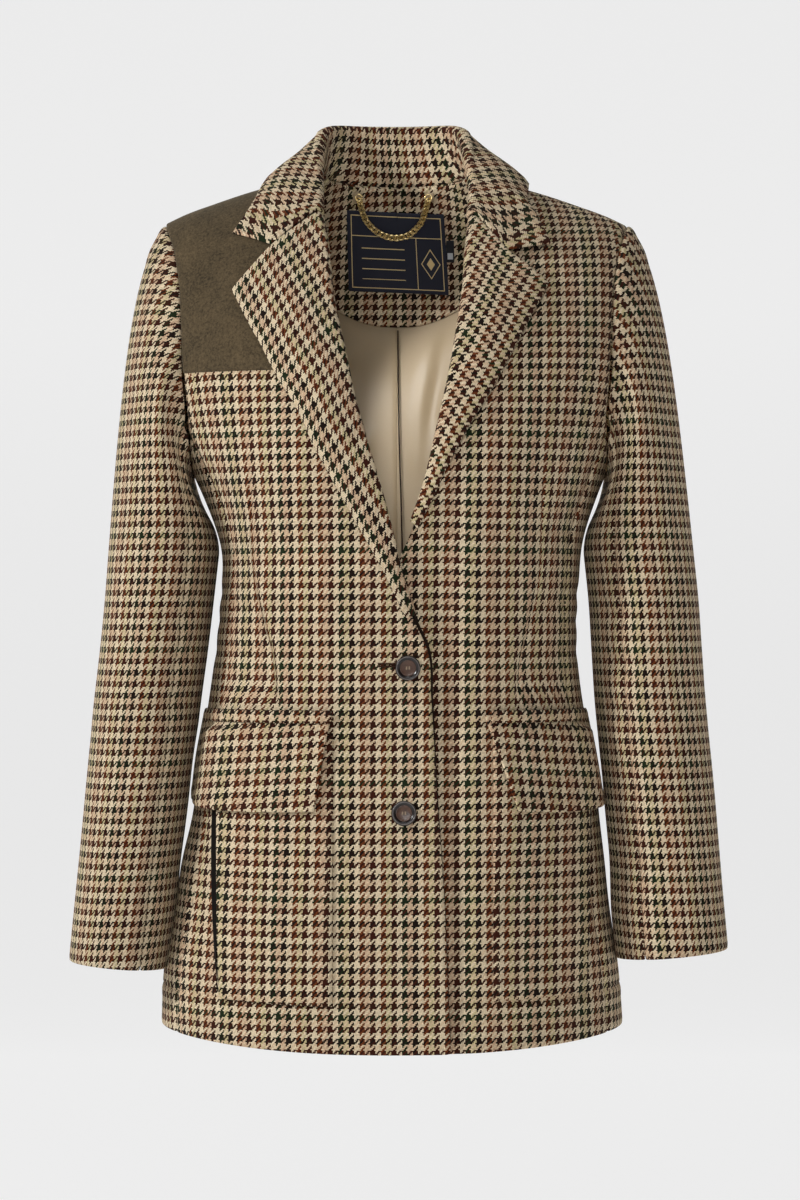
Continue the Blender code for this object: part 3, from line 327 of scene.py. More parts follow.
def ringZ(degrees):
    return ringMid + ringRadius * np.cos(np.radians(degrees))


def ringRow(degrees):
    # The row parameter at an angle round the armhole: the roll-over ends at 105 degrees
    end = 105
    left = 1 - (1 - np.cos(np.radians(np.minimum(degrees, end)))) / (1 - math.cos(math.radians(end)))
    upper = np.arccos(np.maximum(left, 0) ** (turnPower / 2))
    return np.where(np.asarray(degrees) <= end, upper, rowBelow(ringZ(degrees)))


def panel(side, face, inner, rows, columns, split=None, gap=seamGap):
    # x and v over a front or back panel, settled in rounds; a split line takes the middle column
    u = columns[None, :]
    base = rows[:, None] + 0 * u
    x = side * 0.12 + 0 * base
    for _ in range(12):
        z = surface(x, base, face)[..., 2]
        z = z + np.where(base > rightAngle, lift(x, z), 0)
        low = inner(z) + gap
        high = seamX(z, side) - gap
        if split is None:
            x = ownX(side, low, high, u, z)
        else:
            mid = np.clip(curve(split, z), low + 0.01, high - 0.01)
            near = ownX(side, low, mid, np.clip(u * 2, 0, 1), z)
            far = ownX(side, mid, high, np.clip(u * 2 - 1, 0, 1), z)
            x = np.where(u < 0.5, near, far)
    return x, np.where(base > rightAngle, rowBelow(z), base)


def gridNormals(points, wrap=False):
    along = np.gradient(points, axis=1)
    if wrap:
        along = (np.roll(points, -1, axis=1) - np.roll(points, 1, axis=1)) / 2
    return unit(np.cross(along, np.gradient(points, axis=0)))


def refine(grid, rows, columns):
    # A finer grid through the points of a coarse one, at the given row and column places
    fine = curvePoints(np.arange(len(grid)), grid, rows).transpose(1, 0, 2)
    return curvePoints(np.arange(len(fine)), fine, columns).transpose(1, 0, 2)


def creases(across, down, table):
    # Rows of path, width and depth in millimetres (minus is a trough):
    # the depth times a bell across the path, dying out over its ends
    out = 0 * across
    for path, width, depth in table:
        path = curvePoints(np.arange(3), path, np.linspace(0, 2, 12))
        begin = runs(path)
        best = 1e9 + 0 * across
        place = 0 * across
        for k, way in enumerate(np.diff(path, axis=0)):
            x, y = across - path[k, 0], down - path[k, 1]
            t = np.clip((x * way[0] + y * way[1]) / (way @ way), 0, 1)
            far = np.hypot(x - t * way[0], y - t * way[1])
            place = np.where(far < best, (begin[k] + t * (begin[k + 1] - begin[k])) / begin[-1], place)
            best = np.minimum(best, far)
        ends = smoothstep(0, 0.25, place) * smoothstep(0, 0.25, 1 - place)
        out = out + depth * mm * bell(best, width * mm) * (0.15 + 0.85 * ends) * (ends > 0)
    return out


def quads(grid, closedAcross=False, closedDown=False):
    # Four-cornered faces of a grid of point numbers
    if closedAcross:
        grid = np.concatenate([grid, grid[:, :1]], axis=1)
    if closedDown:
        grid = np.concatenate([grid, grid[:1]])
    return np.stack([grid[:-1, :-1], grid[:-1, 1:], grid[1:, 1:], grid[1:, :-1]], axis=-1).reshape(-1, 4)


def meshPiece(name, points, faces, uvs, paint):
    # An object from whole arrays: points, four-cornered faces and one map point per vertex
    a, b, c, d = (points[faces[:, k]] for k in range(4))
    if (a * np.cross(b, c)).sum() + (a * np.cross(c, d)).sum() < 0:
        faces = faces[:, ::-1]  # its volume was inside out
    mesh = bpy.data.meshes.new(name)
    count = len(faces)
    mesh.vertices.add(len(points))
    mesh.vertices.foreach_set("co", points.astype(np.float32).ravel())
    mesh.loops.add(count * 4)
    mesh.loops.foreach_set("vertex_index", faces.astype(np.int32).ravel())
    mesh.polygons.add(count)
    mesh.polygons.foreach_set("loop_start", np.arange(0, count * 4, 4, dtype=np.int32))
    mesh.polygons.foreach_set("loop_total", np.full(count, 4, dtype=np.int32))
    mesh.polygons.foreach_set("use_smooth", np.ones(count, dtype=bool))
    mesh.update(calc_edges=True)
    if uvs is not None:
        layer = mesh.uv_layers.new(name="weave")
        layer.data.foreach_set("uv", uvs[faces.ravel()].astype(np.float32).ravel())
    mesh.materials.append(paint)
    return addObject(name, mesh)


def closeShell(name, outer, inner, uv, paint):
    # A closed body between two grids, its rim rounded by one more loop of points
    grid = np.arange(outer[..., 0].size).reshape(outer.shape[:2])
    ring = np.concatenate([grid[0, :-1], grid[:-1, -1], grid[-1, :0:-1], grid[:0:-1, 0]])
    pull = np.concatenate([grid[1, :-1], grid[:-1, -2], grid[-2, :0:-1], grid[:0:-1, 1]])
    out, into, flatUv = outer.reshape(-1, 3), inner.reshape(-1, 3), uv.reshape(-1, 2)
    middle = (out + into) / 2
    thick = np.linalg.norm(out[ring] - into[ring], axis=1, keepdims=True)
    rimPoints = middle[ring] + unit(middle[ring] - middle[pull]) * thick * 0.42
    rim = 2 * grid.size + np.arange(len(ring))
    nextRing, nextRim = np.roll(ring, -1), np.roll(rim, -1)
    faces = [quads(grid), quads(grid)[:, ::-1] + grid.size, np.stack([nextRing, ring, rim, nextRim], axis=-1),
             np.stack([nextRim, rim, ring + grid.size, nextRing + grid.size], axis=-1)]
    points = np.concatenate([out, into, rimPoints])
    return meshPiece(name, points, np.concatenate(faces), np.concatenate([flatUv, flatUv, flatUv[ring]]), paint)


def settle(piece, node=None):
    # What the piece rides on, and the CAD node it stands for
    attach(piece, "root")
    if node:
        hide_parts(node)
    return piece


def rightWay(points, facing, uv):
    # Turn the map over where it would show the twill mirrored
    du, dv = np.gradient(uv, axis=1), np.gradient(uv, axis=0)
    turn = du[..., 0] * dv[..., 1] - du[..., 1] * dv[..., 0]
    hand = (np.cross(np.gradient(points, axis=1), np.gradient(points, axis=0)) * facing).sum(axis=-1)
    return uv * np.array([-1, 1]) if np.median((turn * hand)[1:-1, 1:-1]) > 0 else uv


def clothShell(name, points, relief, uv, facing, thick, paint):
    # The grid pushed out by its relief, then given its thickness and soft rims
    if facing is None:
        facing = gridNormals(points)
        facing = facing * np.sign((facing * points * np.array([1, 1, 0])).sum(axis=-1).mean())
    outer = points + facing * relief[..., None]
    fresh = gridNormals(outer)
    fresh = fresh * np.sign((fresh * facing).sum(axis=-1).mean())
    inner = outer - fresh * thick
    uv = rightWay(outer, fresh, uv)
    for rim in ((0,), (-1,), (slice(None), 0), (slice(None), -1)):
        outer[rim] -= fresh[rim] * 0.22 * thick
        inner[rim] += fresh[rim] * 0.22 * thick
    return closeShell(name, outer, inner, uv, paint)


def torsoMap(x, v, face, steps=24):
    # Lengths along the torso: across from the middle, and down from the chest line
    t = np.linspace(0, 1, steps + 1)
    z = surface(x, v, face)[..., 2]
    start = vAt(x, -0.2 + 0 * x)
    vs = start[..., None] + (v - start)[..., None] * t
    down = np.sign(v - start) * runs(surface(x[..., None] + 0 * vs, vs, face), x.ndim)[..., -1]
    below = smoothstep(-0.2, -0.24, z)
    level = np.minimum(z, curve(ridgeRows, np.abs(x)) - 1e-5)
    xs = x[..., None] * t
    across = np.sign(x) * runs(surface(xs, vAt(xs, level[..., None] + 0 * xs), face), x.ndim)[..., -1]
    return np.stack([across, down * (1 - below) + (-0.2 - z) * below], axis=-1)


def aroundMap(a, z, side, steps=30):
    # The same map by section angle: length round the section, and height
    angles = a[..., None] * np.linspace(0, 1, steps + 1)
    reach = runs(around(angles, z[..., None] + 0 * angles, side), a.ndim)[..., -1]
    return np.stack([side * reach, -0.2 - z], axis=-1)


class Signal:
    # A node's output that sums can be written with
    def __init__(self, web, socket):
        self.web = web
        self.socket = socket

    def __add__(self, other):
        return self.web.math("ADD", self, other)

    def __sub__(self, other):
        return self.web.math("SUBTRACT", self, other)

    def __rsub__(self, other):
        return self.web.math("SUBTRACT", other, self)

    def __mul__(self, other):
        return self.web.math("MULTIPLY", self, other)

    def __truediv__(self, other):
        return self.web.math("DIVIDE", self, other)

    def __mod__(self, other):
        return self.web.math("FLOORED_MODULO", self, other)

    def __lt__(self, other):
        return self.web.math("LESS_THAN", self, other)

    def __abs__(self):
        return self.web.math("ABSOLUTE", self)

    def floor(self):
        return self.web.math("FLOOR", self)


class Web:
    # A material's node tree with short helpers
    def __init__(self, name):
        self.paint = bpy.data.materials.new(name)
        self.paint.use_nodes = True
        self.tree = self.paint.node_tree
        self.shader = self.tree.nodes["Principled BSDF"]

    def node(self, kind, inputs, output=0, **values):
        # A node with its settings, its inputs filled by name or number, and one output taken
        made = self.tree.nodes.new(kind)
        for key, value in values.items():
            setattr(made, key, value)
        for key, value in inputs.items():
            self.put(made.inputs[key], value)
        return Signal(self, made.outputs[output])

    def put(self, socket, value):
        if isinstance(value, Signal):
            self.tree.links.new(value.socket, socket)
        elif isinstance(value, tuple) and len(value) == 3:
            socket.default_value = (*value, 1.0)
        else:
            socket.default_value = value

    def math(self, operation, a, b=0.0):
        return self.node("ShaderNodeMath", {0: a, 1: b}, operation=operation)

    def mix(self, share, a, b, blend="MIX"):
        return self.node("ShaderNodeMix", {0: share, 6: a, 7: b}, 2, data_type="RGBA", blend_type=blend)

    def vector(self, x, y, z=0.0):
        return self.node("ShaderNodeCombineXYZ", {0: x, 1: y, 2: z})

    def noise(self, vector, scale, detail=2.0, rough=0.5):
        inputs = {"Vector": vector, "Scale": scale, "Detail": detail, "Roughness": rough}
        return self.node("ShaderNodeTexNoise", inputs, "Fac")

    def bump(self, height, strength, distance):
        return self.node("ShaderNodeBump", {"Strength": strength, "Distance": distance, "Height": height})

    def steps(self, value, colours):
        # A ramp of flat steps, one for each listed colour
        ramp = self.tree.nodes.new("ShaderNodeValToRGB")
        ramp.color_ramp.interpolation = "CONSTANT"
        while len(ramp.color_ramp.elements) < len(colours):
            ramp.color_ramp.elements.new(0.5)
        for k, colour in enumerate(colours):
            ramp.color_ramp.elements[k].position = k / len(colours)
            ramp.color_ramp.elements[k].color = (*colour, 1.0)
        self.put(ramp.inputs[0], value)
        return Signal(self, ramp.outputs[0])

    def uv(self):
        place = self.node("ShaderNodeUVMap", {}, uv_map="weave")
        split = self.tree.nodes.new("ShaderNodeSeparateXYZ")
        self.put(split.inputs[0], place)
        return Signal(self, split.outputs[0]), Signal(self, split.outputs[1])

    def where(self):
        return self.node("ShaderNodeTexCoord", {}, "Object")

    def finish(self, **values):
        for key, value in values.items():
            self.put(self.shader.inputs[key.replace("_", " ")], value)
        return self.paint


def fromScreen(r, g, b):
    # Linear colour from the picture's 0 to 255 values
    values = (value / 255 for value in (r, g, b))
    return tuple(value / 12.92 if value < 0.04045 else ((value + 0.055) / 1.055) ** 2.4 for value in values)


green, ink, rust = fromScreen(28, 40, 20), fromScreen(28, 17, 11), fromScreen(108, 54, 26)
maroon, brown = fromScreen(60, 25, 14), fromScreen(52, 28, 13)
cream, tan = fromScreen(230, 211, 178), fromScreen(206, 173, 142)
sand, wheat = fromScreen(204, 188, 144), fromScreen(220, 194, 160)
tweedPlan = {  # one yarn's width each way, and the colours of the dark and light groups in turn
    "across": 1.05 * mm, "down": 1.15 * mm, "group": 4.0, "wobble": 0.9,
    "warpDarks": (green, ink, rust, maroon, rust, maroon), "warpLights": (cream, tan, cream, sand),
    "weftDarks": (green, maroon, ink, maroon, ink, brown, ink, maroon, ink, brown), "weftLights": (cream, wheat),
}


def tweedPaint():
    # Four dark yarns by four light ones both ways, in a two-by-two twill
    web = Web("tweed")
    x, y = web.uv()
    wobble = (web.noise(web.vector(x, y), 260.0, 1.0) - 0.5) * tweedPlan["wobble"]
    across = x / tweedPlan["across"] + wobble
    down = y / tweedPlan["down"] + wobble
    i, j = across.floor(), down.floor()
    over = (i + j) % 4.0 < 1.5

    def pick(warp, weft):
        return warp * over + weft * (1.0 - over)

    def colourOf(index, lights, darks):
        group = (index / tweedPlan["group"]).floor()
        pair = (group / 2.0).floor()
        light, dark = (web.steps((pair % float(len(row)) + 0.5) / float(len(row)), row) for row in (lights, darks))
        return web.mix(group % 2.0, light, dark)

    def domed(value):
        middle = web.math("FRACT", value) - 0.5
        return 1.0 - middle * middle * 4.0

    weft = colourOf(j, tweedPlan["weftLights"], tweedPlan["weftDarks"])
    colour = web.mix(over, weft, colourOf(i, tweedPlan["warpLights"], tweedPlan["warpDarks"]))
    # Round yarns with painted shade darkening the valleys between them, and each yarn's own mixed fibres drawn out
    # along it
    high = pick(domed(across), domed(down))
    fibre = pick(web.noise(web.vector(i * 7.13, down * 0.45), 1.0), web.noise(web.vector(across * 0.45, j * 7.13), 1.0))
    fuzz = web.noise(web.where(), 2600.0, 2.0, 0.7)
    cloudy = web.noise(web.where(), 22.0, 3.0)
    # The yarn-height factor is painted shade in the valleys; the fibre, fuzz and cloudy factors are the cloth's own
    # tones
    fibreToneAndValleyShade = (fibre * 0.75 + 0.48) * (high * 0.44 + 0.66) * (fuzz * 0.4 + 0.8) * (cloudy * 0.16 + 0.92)
    return web.finish(Base_Color=web.mix(1.0, colour, web.vector(fibreToneAndValleyShade, fibreToneAndValleyShade, fibreToneAndValleyShade), "MULTIPLY"), Roughness=0.95,
                      Sheen_Weight=0.05, Sheen_Roughness=0.55, Specular_IOR_Level=0.1, Sheen_Tint=(0.95, 0.85, 0.7),
                      Normal=web.bump(high + fuzz * 0.9, 0.55, 0.35 * mm))


def satinPaint():
    # A smooth sateen: fine threads, long soft lights
    web = Web("satin")
    x, y = web.uv()
    thread = web.noise(web.vector(x * 9000.0, y * 900.0), 1.0)
    base = web.mix(web.noise(web.where(), 14.0), fromScreen(170, 150, 116), fromScreen(190, 168, 132))
    colour = web.mix(0.22, base, web.mix(thread, (0.08, 0.06, 0.045), (0.62, 0.5, 0.4)))
    return web.finish(Base_Color=colour, Roughness=0.42, Sheen_Weight=0.1, Sheen_Roughness=0.4,
                      Specular_IOR_Level=0.45, Anisotropic=0.4, Normal=web.bump(thread, 0.12, 0.2 * mm))


def moleskinPaint():
    # A short dense nap, brushed in uneven patches
    web = Web("moleskin")
    nap = web.noise(web.where(), 480.0, 5.0, 0.8)
    brushed = web.noise(web.where(), 45.0, 4.0, 0.65)
    base = web.mix((brushed - 0.5) * 2.2 + 0.5, fromScreen(34, 28, 20), fromScreen(84, 70, 50))
    hairs = web.mix((nap - 0.5) * 3.2 + 0.5, fromScreen(30, 24, 17), fromScreen(118, 102, 76))
    return web.finish(Base_Color=web.mix(0.5, base, hairs), Roughness=0.95, Sheen_Weight=0.2, Sheen_Roughness=0.45,
                      Specular_IOR_Level=0.15, Sheen_Tint=(0.8, 0.72, 0.56), Normal=web.bump(nap, 0.5, 0.4 * mm))


def hornPaint(name, dark, light, rough):
    # Polished resin with brown streaks
    web = Web(name)
    streak = web.noise(web.where(), 320.0, 3.0, 0.6)
    return web.finish(Base_Color=web.mix(streak, dark, light), Roughness=streak * 0.12 + rough, Coat_Weight=0.2,
                      Coat_Roughness=0.12, Specular_IOR_Level=0.4)


def metalPaint():
    web = Web("chain")
    tarnish = web.noise(web.where(), 900.0)
    colour = web.mix(tarnish, (0.72, 0.52, 0.20), (0.98, 0.80, 0.42))
    return web.finish(Base_Color=colour, Metallic=1.0, Roughness=tarnish * 0.2 + 0.18)


def threadPaint(name, dark, light):
    # Twisted sewing thread
    web = Web(name)
    twist = web.noise(web.where(), 2400.0)
    return web.finish(Base_Color=web.mix(twist, dark, light), Roughness=0.8, Specular_IOR_Level=0.15,
                      Normal=web.bump(twist, 0.4, 0.2 * mm))


labelPlan = {
    "wide": 87 * mm, "tall": 66 * mm, "margin": 3.0 * mm, "border": 0.7 * mm, "line": 0.35 * mm, "bar": 0.4 * mm,
    "barStep": 8.5 * mm, "lozenge": (8.5 * mm, 12.5 * mm), "corner": (-0.0450, -0.0100), "lean": 3.0 * mm,
    "droop": 3.5 * mm, "swell": 0.5 * mm, "thick": 0.5 * mm,
}


def labelPaint():
    # Navy weave with a thin gold border, two dividers, plain bars and a plain lozenge: a generic label
    web = Web("label")
    x, y = web.uv()
    wide, tall, line = labelPlan["wide"], labelPlan["tall"], labelPlan["line"]

    def band(value, centre, half):
        return abs(value - centre) < half

    def either(a, b):
        return web.math("MAXIMUM", a, b)

    def inside(margin):
        return band(x, wide / 2, wide / 2 - margin), band(y, tall / 2, tall / 2 - margin)

    outX, outY = inside(labelPlan["margin"])
    coreX, coreY = inside(labelPlan["margin"] + labelPlan["border"])
    border = outX * outY * (1.0 - coreX * coreY)
    level = band(y, tall * 0.30, line) * coreX
    upright = band(x, wide * 0.70, line) * band(y, tall * 0.65, tall * 0.35) * coreY
    ring = abs(x - wide * 0.84) / labelPlan["lozenge"][0] + abs(y - tall * 0.62) / labelPlan["lozenge"][1]
    lozenge = either(band(ring, 0.95, 0.05), ring < 0.42)
    bars = band(y % labelPlan["barStep"], labelPlan["barStep"] / 2, labelPlan["bar"])
    bars = bars * band(x, wide * 0.36, wide * 0.22) * band(y, tall * 0.64, tall * 0.20)
    gold = either(either(border, either(level, upright)), either(lozenge, bars))
    fine = web.noise(web.vector(x * 5000.0, y * 2500.0), 1.0, 1.0)
    colour = web.mix(gold, web.mix(fine, fromScreen(9, 12, 28), fromScreen(22, 28, 52)),
                     web.mix(fine, fromScreen(206, 176, 116), fromScreen(244, 222, 168)))
    return web.finish(Base_Color=colour, Roughness=0.6, Sheen_Weight=0.1, Normal=web.bump(fine + gold, 0.3, 0.2 * mm))


def tabPaint():
    # Black weave with a blank white square
    web = Web("tab")
    x, y = web.uv()
    fine = web.noise(web.where(), 2500.0)
    square = (abs(x - 3.3 * mm) < 2.4 * mm) * (abs(y - 12.5 * mm) < 2.6 * mm)
    colour = web.mix(square, web.mix(fine, fromScreen(10, 10, 14), fromScreen(30, 30, 38)),
                     web.mix(fine, fromScreen(170, 175, 180), fromScreen(225, 228, 230)))
    return web.finish(Base_Color=colour, Roughness=0.7, Normal=web.bump(fine, 0.3, 0.2 * mm))


paints = {
    "tweed": tweedPaint(), "satin": satinPaint(), "moleskin": moleskinPaint(), "chain": metalPaint(),
    "label": labelPaint(), "tab": tabPaint(),
    "horn": hornPaint("horn", fromScreen(10, 7, 7), fromScreen(30, 20, 17), 0.28),
    # The rim ring's pale grey is a painted highlight on the button's raised rim
    "hornRimHighlight": hornPaint("hornRimHighlight", fromScreen(58, 52, 50), fromScreen(124, 118, 116), 0.18),
    "hornDish": hornPaint("hornDish", fromScreen(40, 24, 18), fromScreen(98, 66, 48), 0.3),
    # A dark brown strip colour that is painted shade, drawn with the thread finish
    "paintedSoftShade": threadPaint("paintedSoftShade", fromScreen(22, 14, 9), fromScreen(44, 29, 18)),
    # A near-black strip colour that is painted shade, drawn with the thread finish
    "paintedDeepShade": threadPaint("paintedDeepShade", fromScreen(6, 4, 3), fromScreen(16, 10, 8)),
    # The button thread's brown is its own colour; its pale tones are a painted highlight
    "paleThreadHighlight": threadPaint("paleThreadHighlight", fromScreen(96, 72, 54), fromScreen(190, 170, 146)),
    "darkThread": threadPaint("darkThread", fromScreen(38, 22, 16), fromScreen(70, 42, 28)),
}
print("materials made")


def clothPiece(name, points, relief, uv, facing=None, thick=tweedThick, finish="tweed"):
    # A cloth shell that stands for the CAD node of its name
    return settle(clothShell(name, points, relief, uv, facing, thick, paints[finish]), name)


hemTuck = 36.5 * mm  # the tuck's seam is this much above the hem
dartLine = np.array([(-0.05, 0.120), (-0.15, 0.1175), (-0.272, 0.1165), (-0.305, 0.1160), (-0.354, 0.1060),
                     (-0.378, 0.0985), (-0.418, 0.0935), (-0.55, 0.096), (-0.73, 0.098)])
frontPlan = {
    onRight: {"edge": openingRight, "creases": (
        (((-0.165, -0.215), (-0.150, -0.250), (-0.128, -0.285)), 11, -1.6),
        (((-0.150, -0.335), (-0.118, -0.348), (-0.085, -0.352)), 8, -1.1),
        (((-0.148, -0.372), (-0.120, -0.378), (-0.088, -0.374)), 7, -0.9),
        (((-0.020, -0.392), (-0.050, -0.380), (-0.085, -0.376)), 7, -0.9),
        (((-0.010, -0.400), (-0.040, -0.412), (-0.070, -0.418)), 8, 0.8),
        (((-0.075, -0.235), (-0.050, -0.290), (-0.030, -0.345)), 12, -0.9),
        (((-0.040, -0.52), (-0.046, -0.58), (-0.044, -0.64)), 14, -0.8),
    )},
    onLeft: {"edge": openingLeft, "creases": (
        (((0.168, -0.222), (0.150, -0.262), (0.124, -0.300)), 12, -1.8),
        (((0.152, -0.330), (0.120, -0.346), (0.080, -0.356)), 9, -1.2),
        (((0.150, -0.372), (0.118, -0.384), (0.075, -0.388)), 8, -0.9),
        (((0.020, -0.385), (0.055, -0.372), (0.090, -0.366)), 8, -0.8),
        (((0.090, -0.215), (0.070, -0.275), (0.050, -0.335)), 14, -1.0),
        (((0.045, -0.50), (0.052, -0.57), (0.048, -0.64)), 15, -0.9),
    )},
}
underDip = 6.4 * mm


def dipAt(x, z):
    # How far the covered front lies inside the other where they overlap
    return underDip * smoothstep(0.066, 0.040, x) * smoothstep(-0.22, -0.29, z)


def lowerRows(count=150):
    # Rows below the roll-over, closer together at the hem tuck's seam
    seam = rowBelow(hemHeight + hemTuck)
    plain = np.linspace(rightAngle + 0.03, rowBelow(hemHeight), count)
    close = seam + np.array([-0.022, -0.013, -0.006, 0.0, 0.006, 0.013, 0.022])
    return np.sort(np.concatenate([plain[np.abs(plain - seam) > 0.028], close]))


def panelRows():
    return np.concatenate([np.linspace(0.02, rightAngle, 62), lowerRows()])


def edgeColumns(count, mid=None):
    # Columns with a close pair at each edge, and round the middle if a seam runs there
    main = np.linspace(0, 1, count)
    extra = [0.012, 0.03, 0.97, 0.988]
    if mid:
        main = main[np.abs(main - mid) > 0.04]
        extra += [mid + step for step in (-0.034, -0.018, -0.007, 0, 0.007, 0.018, 0.034)]
    return np.unique(np.concatenate([main, extra]))


def skirt(x, z):
    # The hem tuck's stitched line, parallel to the hem, and the skirt's flare beside the pockets
    gap = z - hemHeight - hemTuck - lift(x, z)
    tuck = 0.5 * mm * bell(gap + 0.006, 0.004) - 0.9 * mm * bell(gap, 0.0012)
    wide = np.where(x < 0, 4.5, 2.0) * mm
    return tuck + wide * smoothstep(0.148, 0.172, np.abs(x)) * smoothstep(-0.50, -0.56, z) * smoothstep(-0.70, -0.63, z)


def seamDip(u, width=0.02, depth=0.9 * mm, low=True):
    # Cloth turning down into a seam at a panel's sides
    return -depth * (bell(u, width) * low + bell(1 - u, width))


def buildFronts():
    columns = edgeColumns(58, 0.5)
    u = columns[None, :]
    for side, tag in sides:
        plan = frontPlan[side]
        x, v = panel(side, atFront, lambda z: curve(plan["edge"], z) + 0.009 * smoothstep(-0.042, -0.026, z),
                     panelRows(), columns, dartLine)
        z = surface(x, v, atFront)[..., 2]
        dart = smoothstep(-0.225, -0.27, z) * smoothstep(-0.425, -0.40, z)
        relief = creases(x, z, plan["creases"]) + skirt(x, z) + seamDip(u, low=False)
        relief = relief + dart * (0.7 * mm * bell(u - 0.545, 0.03) - 1.7 * mm * bell(u - 0.5, 0.010))
        if side == onLeft:
            relief = relief - dipAt(x, z)
        else:
            # The lapped edge stands a little off the other front
            relief = relief + 2.0 * mm * bell(u, 0.06) * smoothstep(-0.30, -0.34, z)
        uv = torsoMap(x, v, atFront)
        uv[..., 0] += side * 0.010 * dart * smoothstep(0.5, 0.52, u) * smoothstep(-0.23, -0.40, z)
        piece = clothPiece("front_" + tag, skin(x, v, atFront), relief, uv, normals(x, v, atFront))


backCreases = {
    onRight: (
        (((-0.150, -0.185), (-0.128, -0.235), (-0.100, -0.275)), 12, -1.8),
        (((-0.150, -0.335), (-0.100, -0.350), (-0.035, -0.352)), 9, -1.5),
        (((-0.148, -0.372), (-0.105, -0.383), (-0.050, -0.380)), 8, -1.1),
        (((-0.040, -0.310), (-0.085, -0.322), (-0.130, -0.318)), 8, 1.0),
        (((-0.090, -0.480), (-0.095, -0.560), (-0.090, -0.640)), 16, -1.2),
    ),
    onLeft: (
        (((0.152, -0.190), (0.125, -0.245), (0.090, -0.290)), 13, -1.6),
        (((0.150, -0.340), (0.095, -0.344), (0.040, -0.358)), 10, -1.3),
        (((0.148, -0.380), (0.110, -0.388), (0.060, -0.392)), 8, -1.2),
        (((0.035, -0.325), (0.080, -0.315), (0.125, -0.322)), 8, 0.9),
        (((0.100, -0.470), (0.110, -0.550), (0.104, -0.640)), 17, -1.3),
    ),
}


def buildBacks():
    columns = edgeColumns(50)
    neckFade = 40  # rows over which the neck's edge fades into the shoulder's rows
    for side, tag in sides:
        x, v = panel(side, atBack, lambda z: 0 * z, panelRows(), columns)
        own = np.abs(x[0])
        low = vAt(own, curve(neckRows, np.minimum(own, neckEnd)))
        low = np.where(own < neckEnd, np.maximum(low, 0.02), 0.02)
        share = 1 - np.linspace(0, 1, neckFade)[:, None]
        v[:neckFade] = np.maximum(v[:neckFade], low * share + v[:neckFade] * (1 - share))
        for k in range(1, 60):
            v[k] = np.maximum(v[k], v[k - 1] + 0.004)
        z = surface(x, v, atBack)[..., 2]
        relief = creases(x, z, backCreases[side]) + skirt(x, z) + seamDip(columns[None, :])
        piece = clothPiece("back_" + tag, skin(x, v, atBack), relief, torsoMap(x, v, atBack), normals(x, v, atBack))


sideCreases = (  # depth from front to back, height
    (((-0.055, -0.325), (0.0, -0.334), (0.055, -0.330)), 7, -1.3),
    (((-0.055, -0.350), (0.0, -0.356), (0.05, -0.362)), 6, -1.0),
    (((-0.05, -0.378), (0.01, -0.380), (0.055, -0.374)), 7, -0.9),
)
sideTrim = 0.0012  # angle left free at each of the side panel's seams


def buildSides():
    first = ringZ(underArm)
    heights = rollEnd - (lowerRows(140)[4:] - rightAngle) * rowDrop
    levels = np.unique(np.concatenate([np.linspace(first, -0.232, 12), heights[heights < -0.236]]))[::-1, None]
    u = np.unique(np.concatenate([np.linspace(0, 1, 30), [0.02, 0.98]]))[None, :]
    dip = ringZ(underArm + 90 * u)
    start = angleOf(seamShare)
    for side, tag in sides:
        z = levels + (dip - dip[0, 0]) * smoothstep(-0.36, first, levels) ** 1.5
        a = start + sideTrim + (math.pi - 2 * start - 2 * sideTrim) * u + 0 * z
        z = z + hemLift * np.sin(a) ** 2 * hemFade(z)
        points = around(a, z, side)
        relief = creases(points[..., 1], z, sideCreases) + seamDip(u, 0.03) + skirt(points[..., 0], z)
        piece = clothPiece("side_" + tag, points, relief, aroundMap(a, z, side))


buildFronts()
buildBacks()
buildSides()
print("body made")

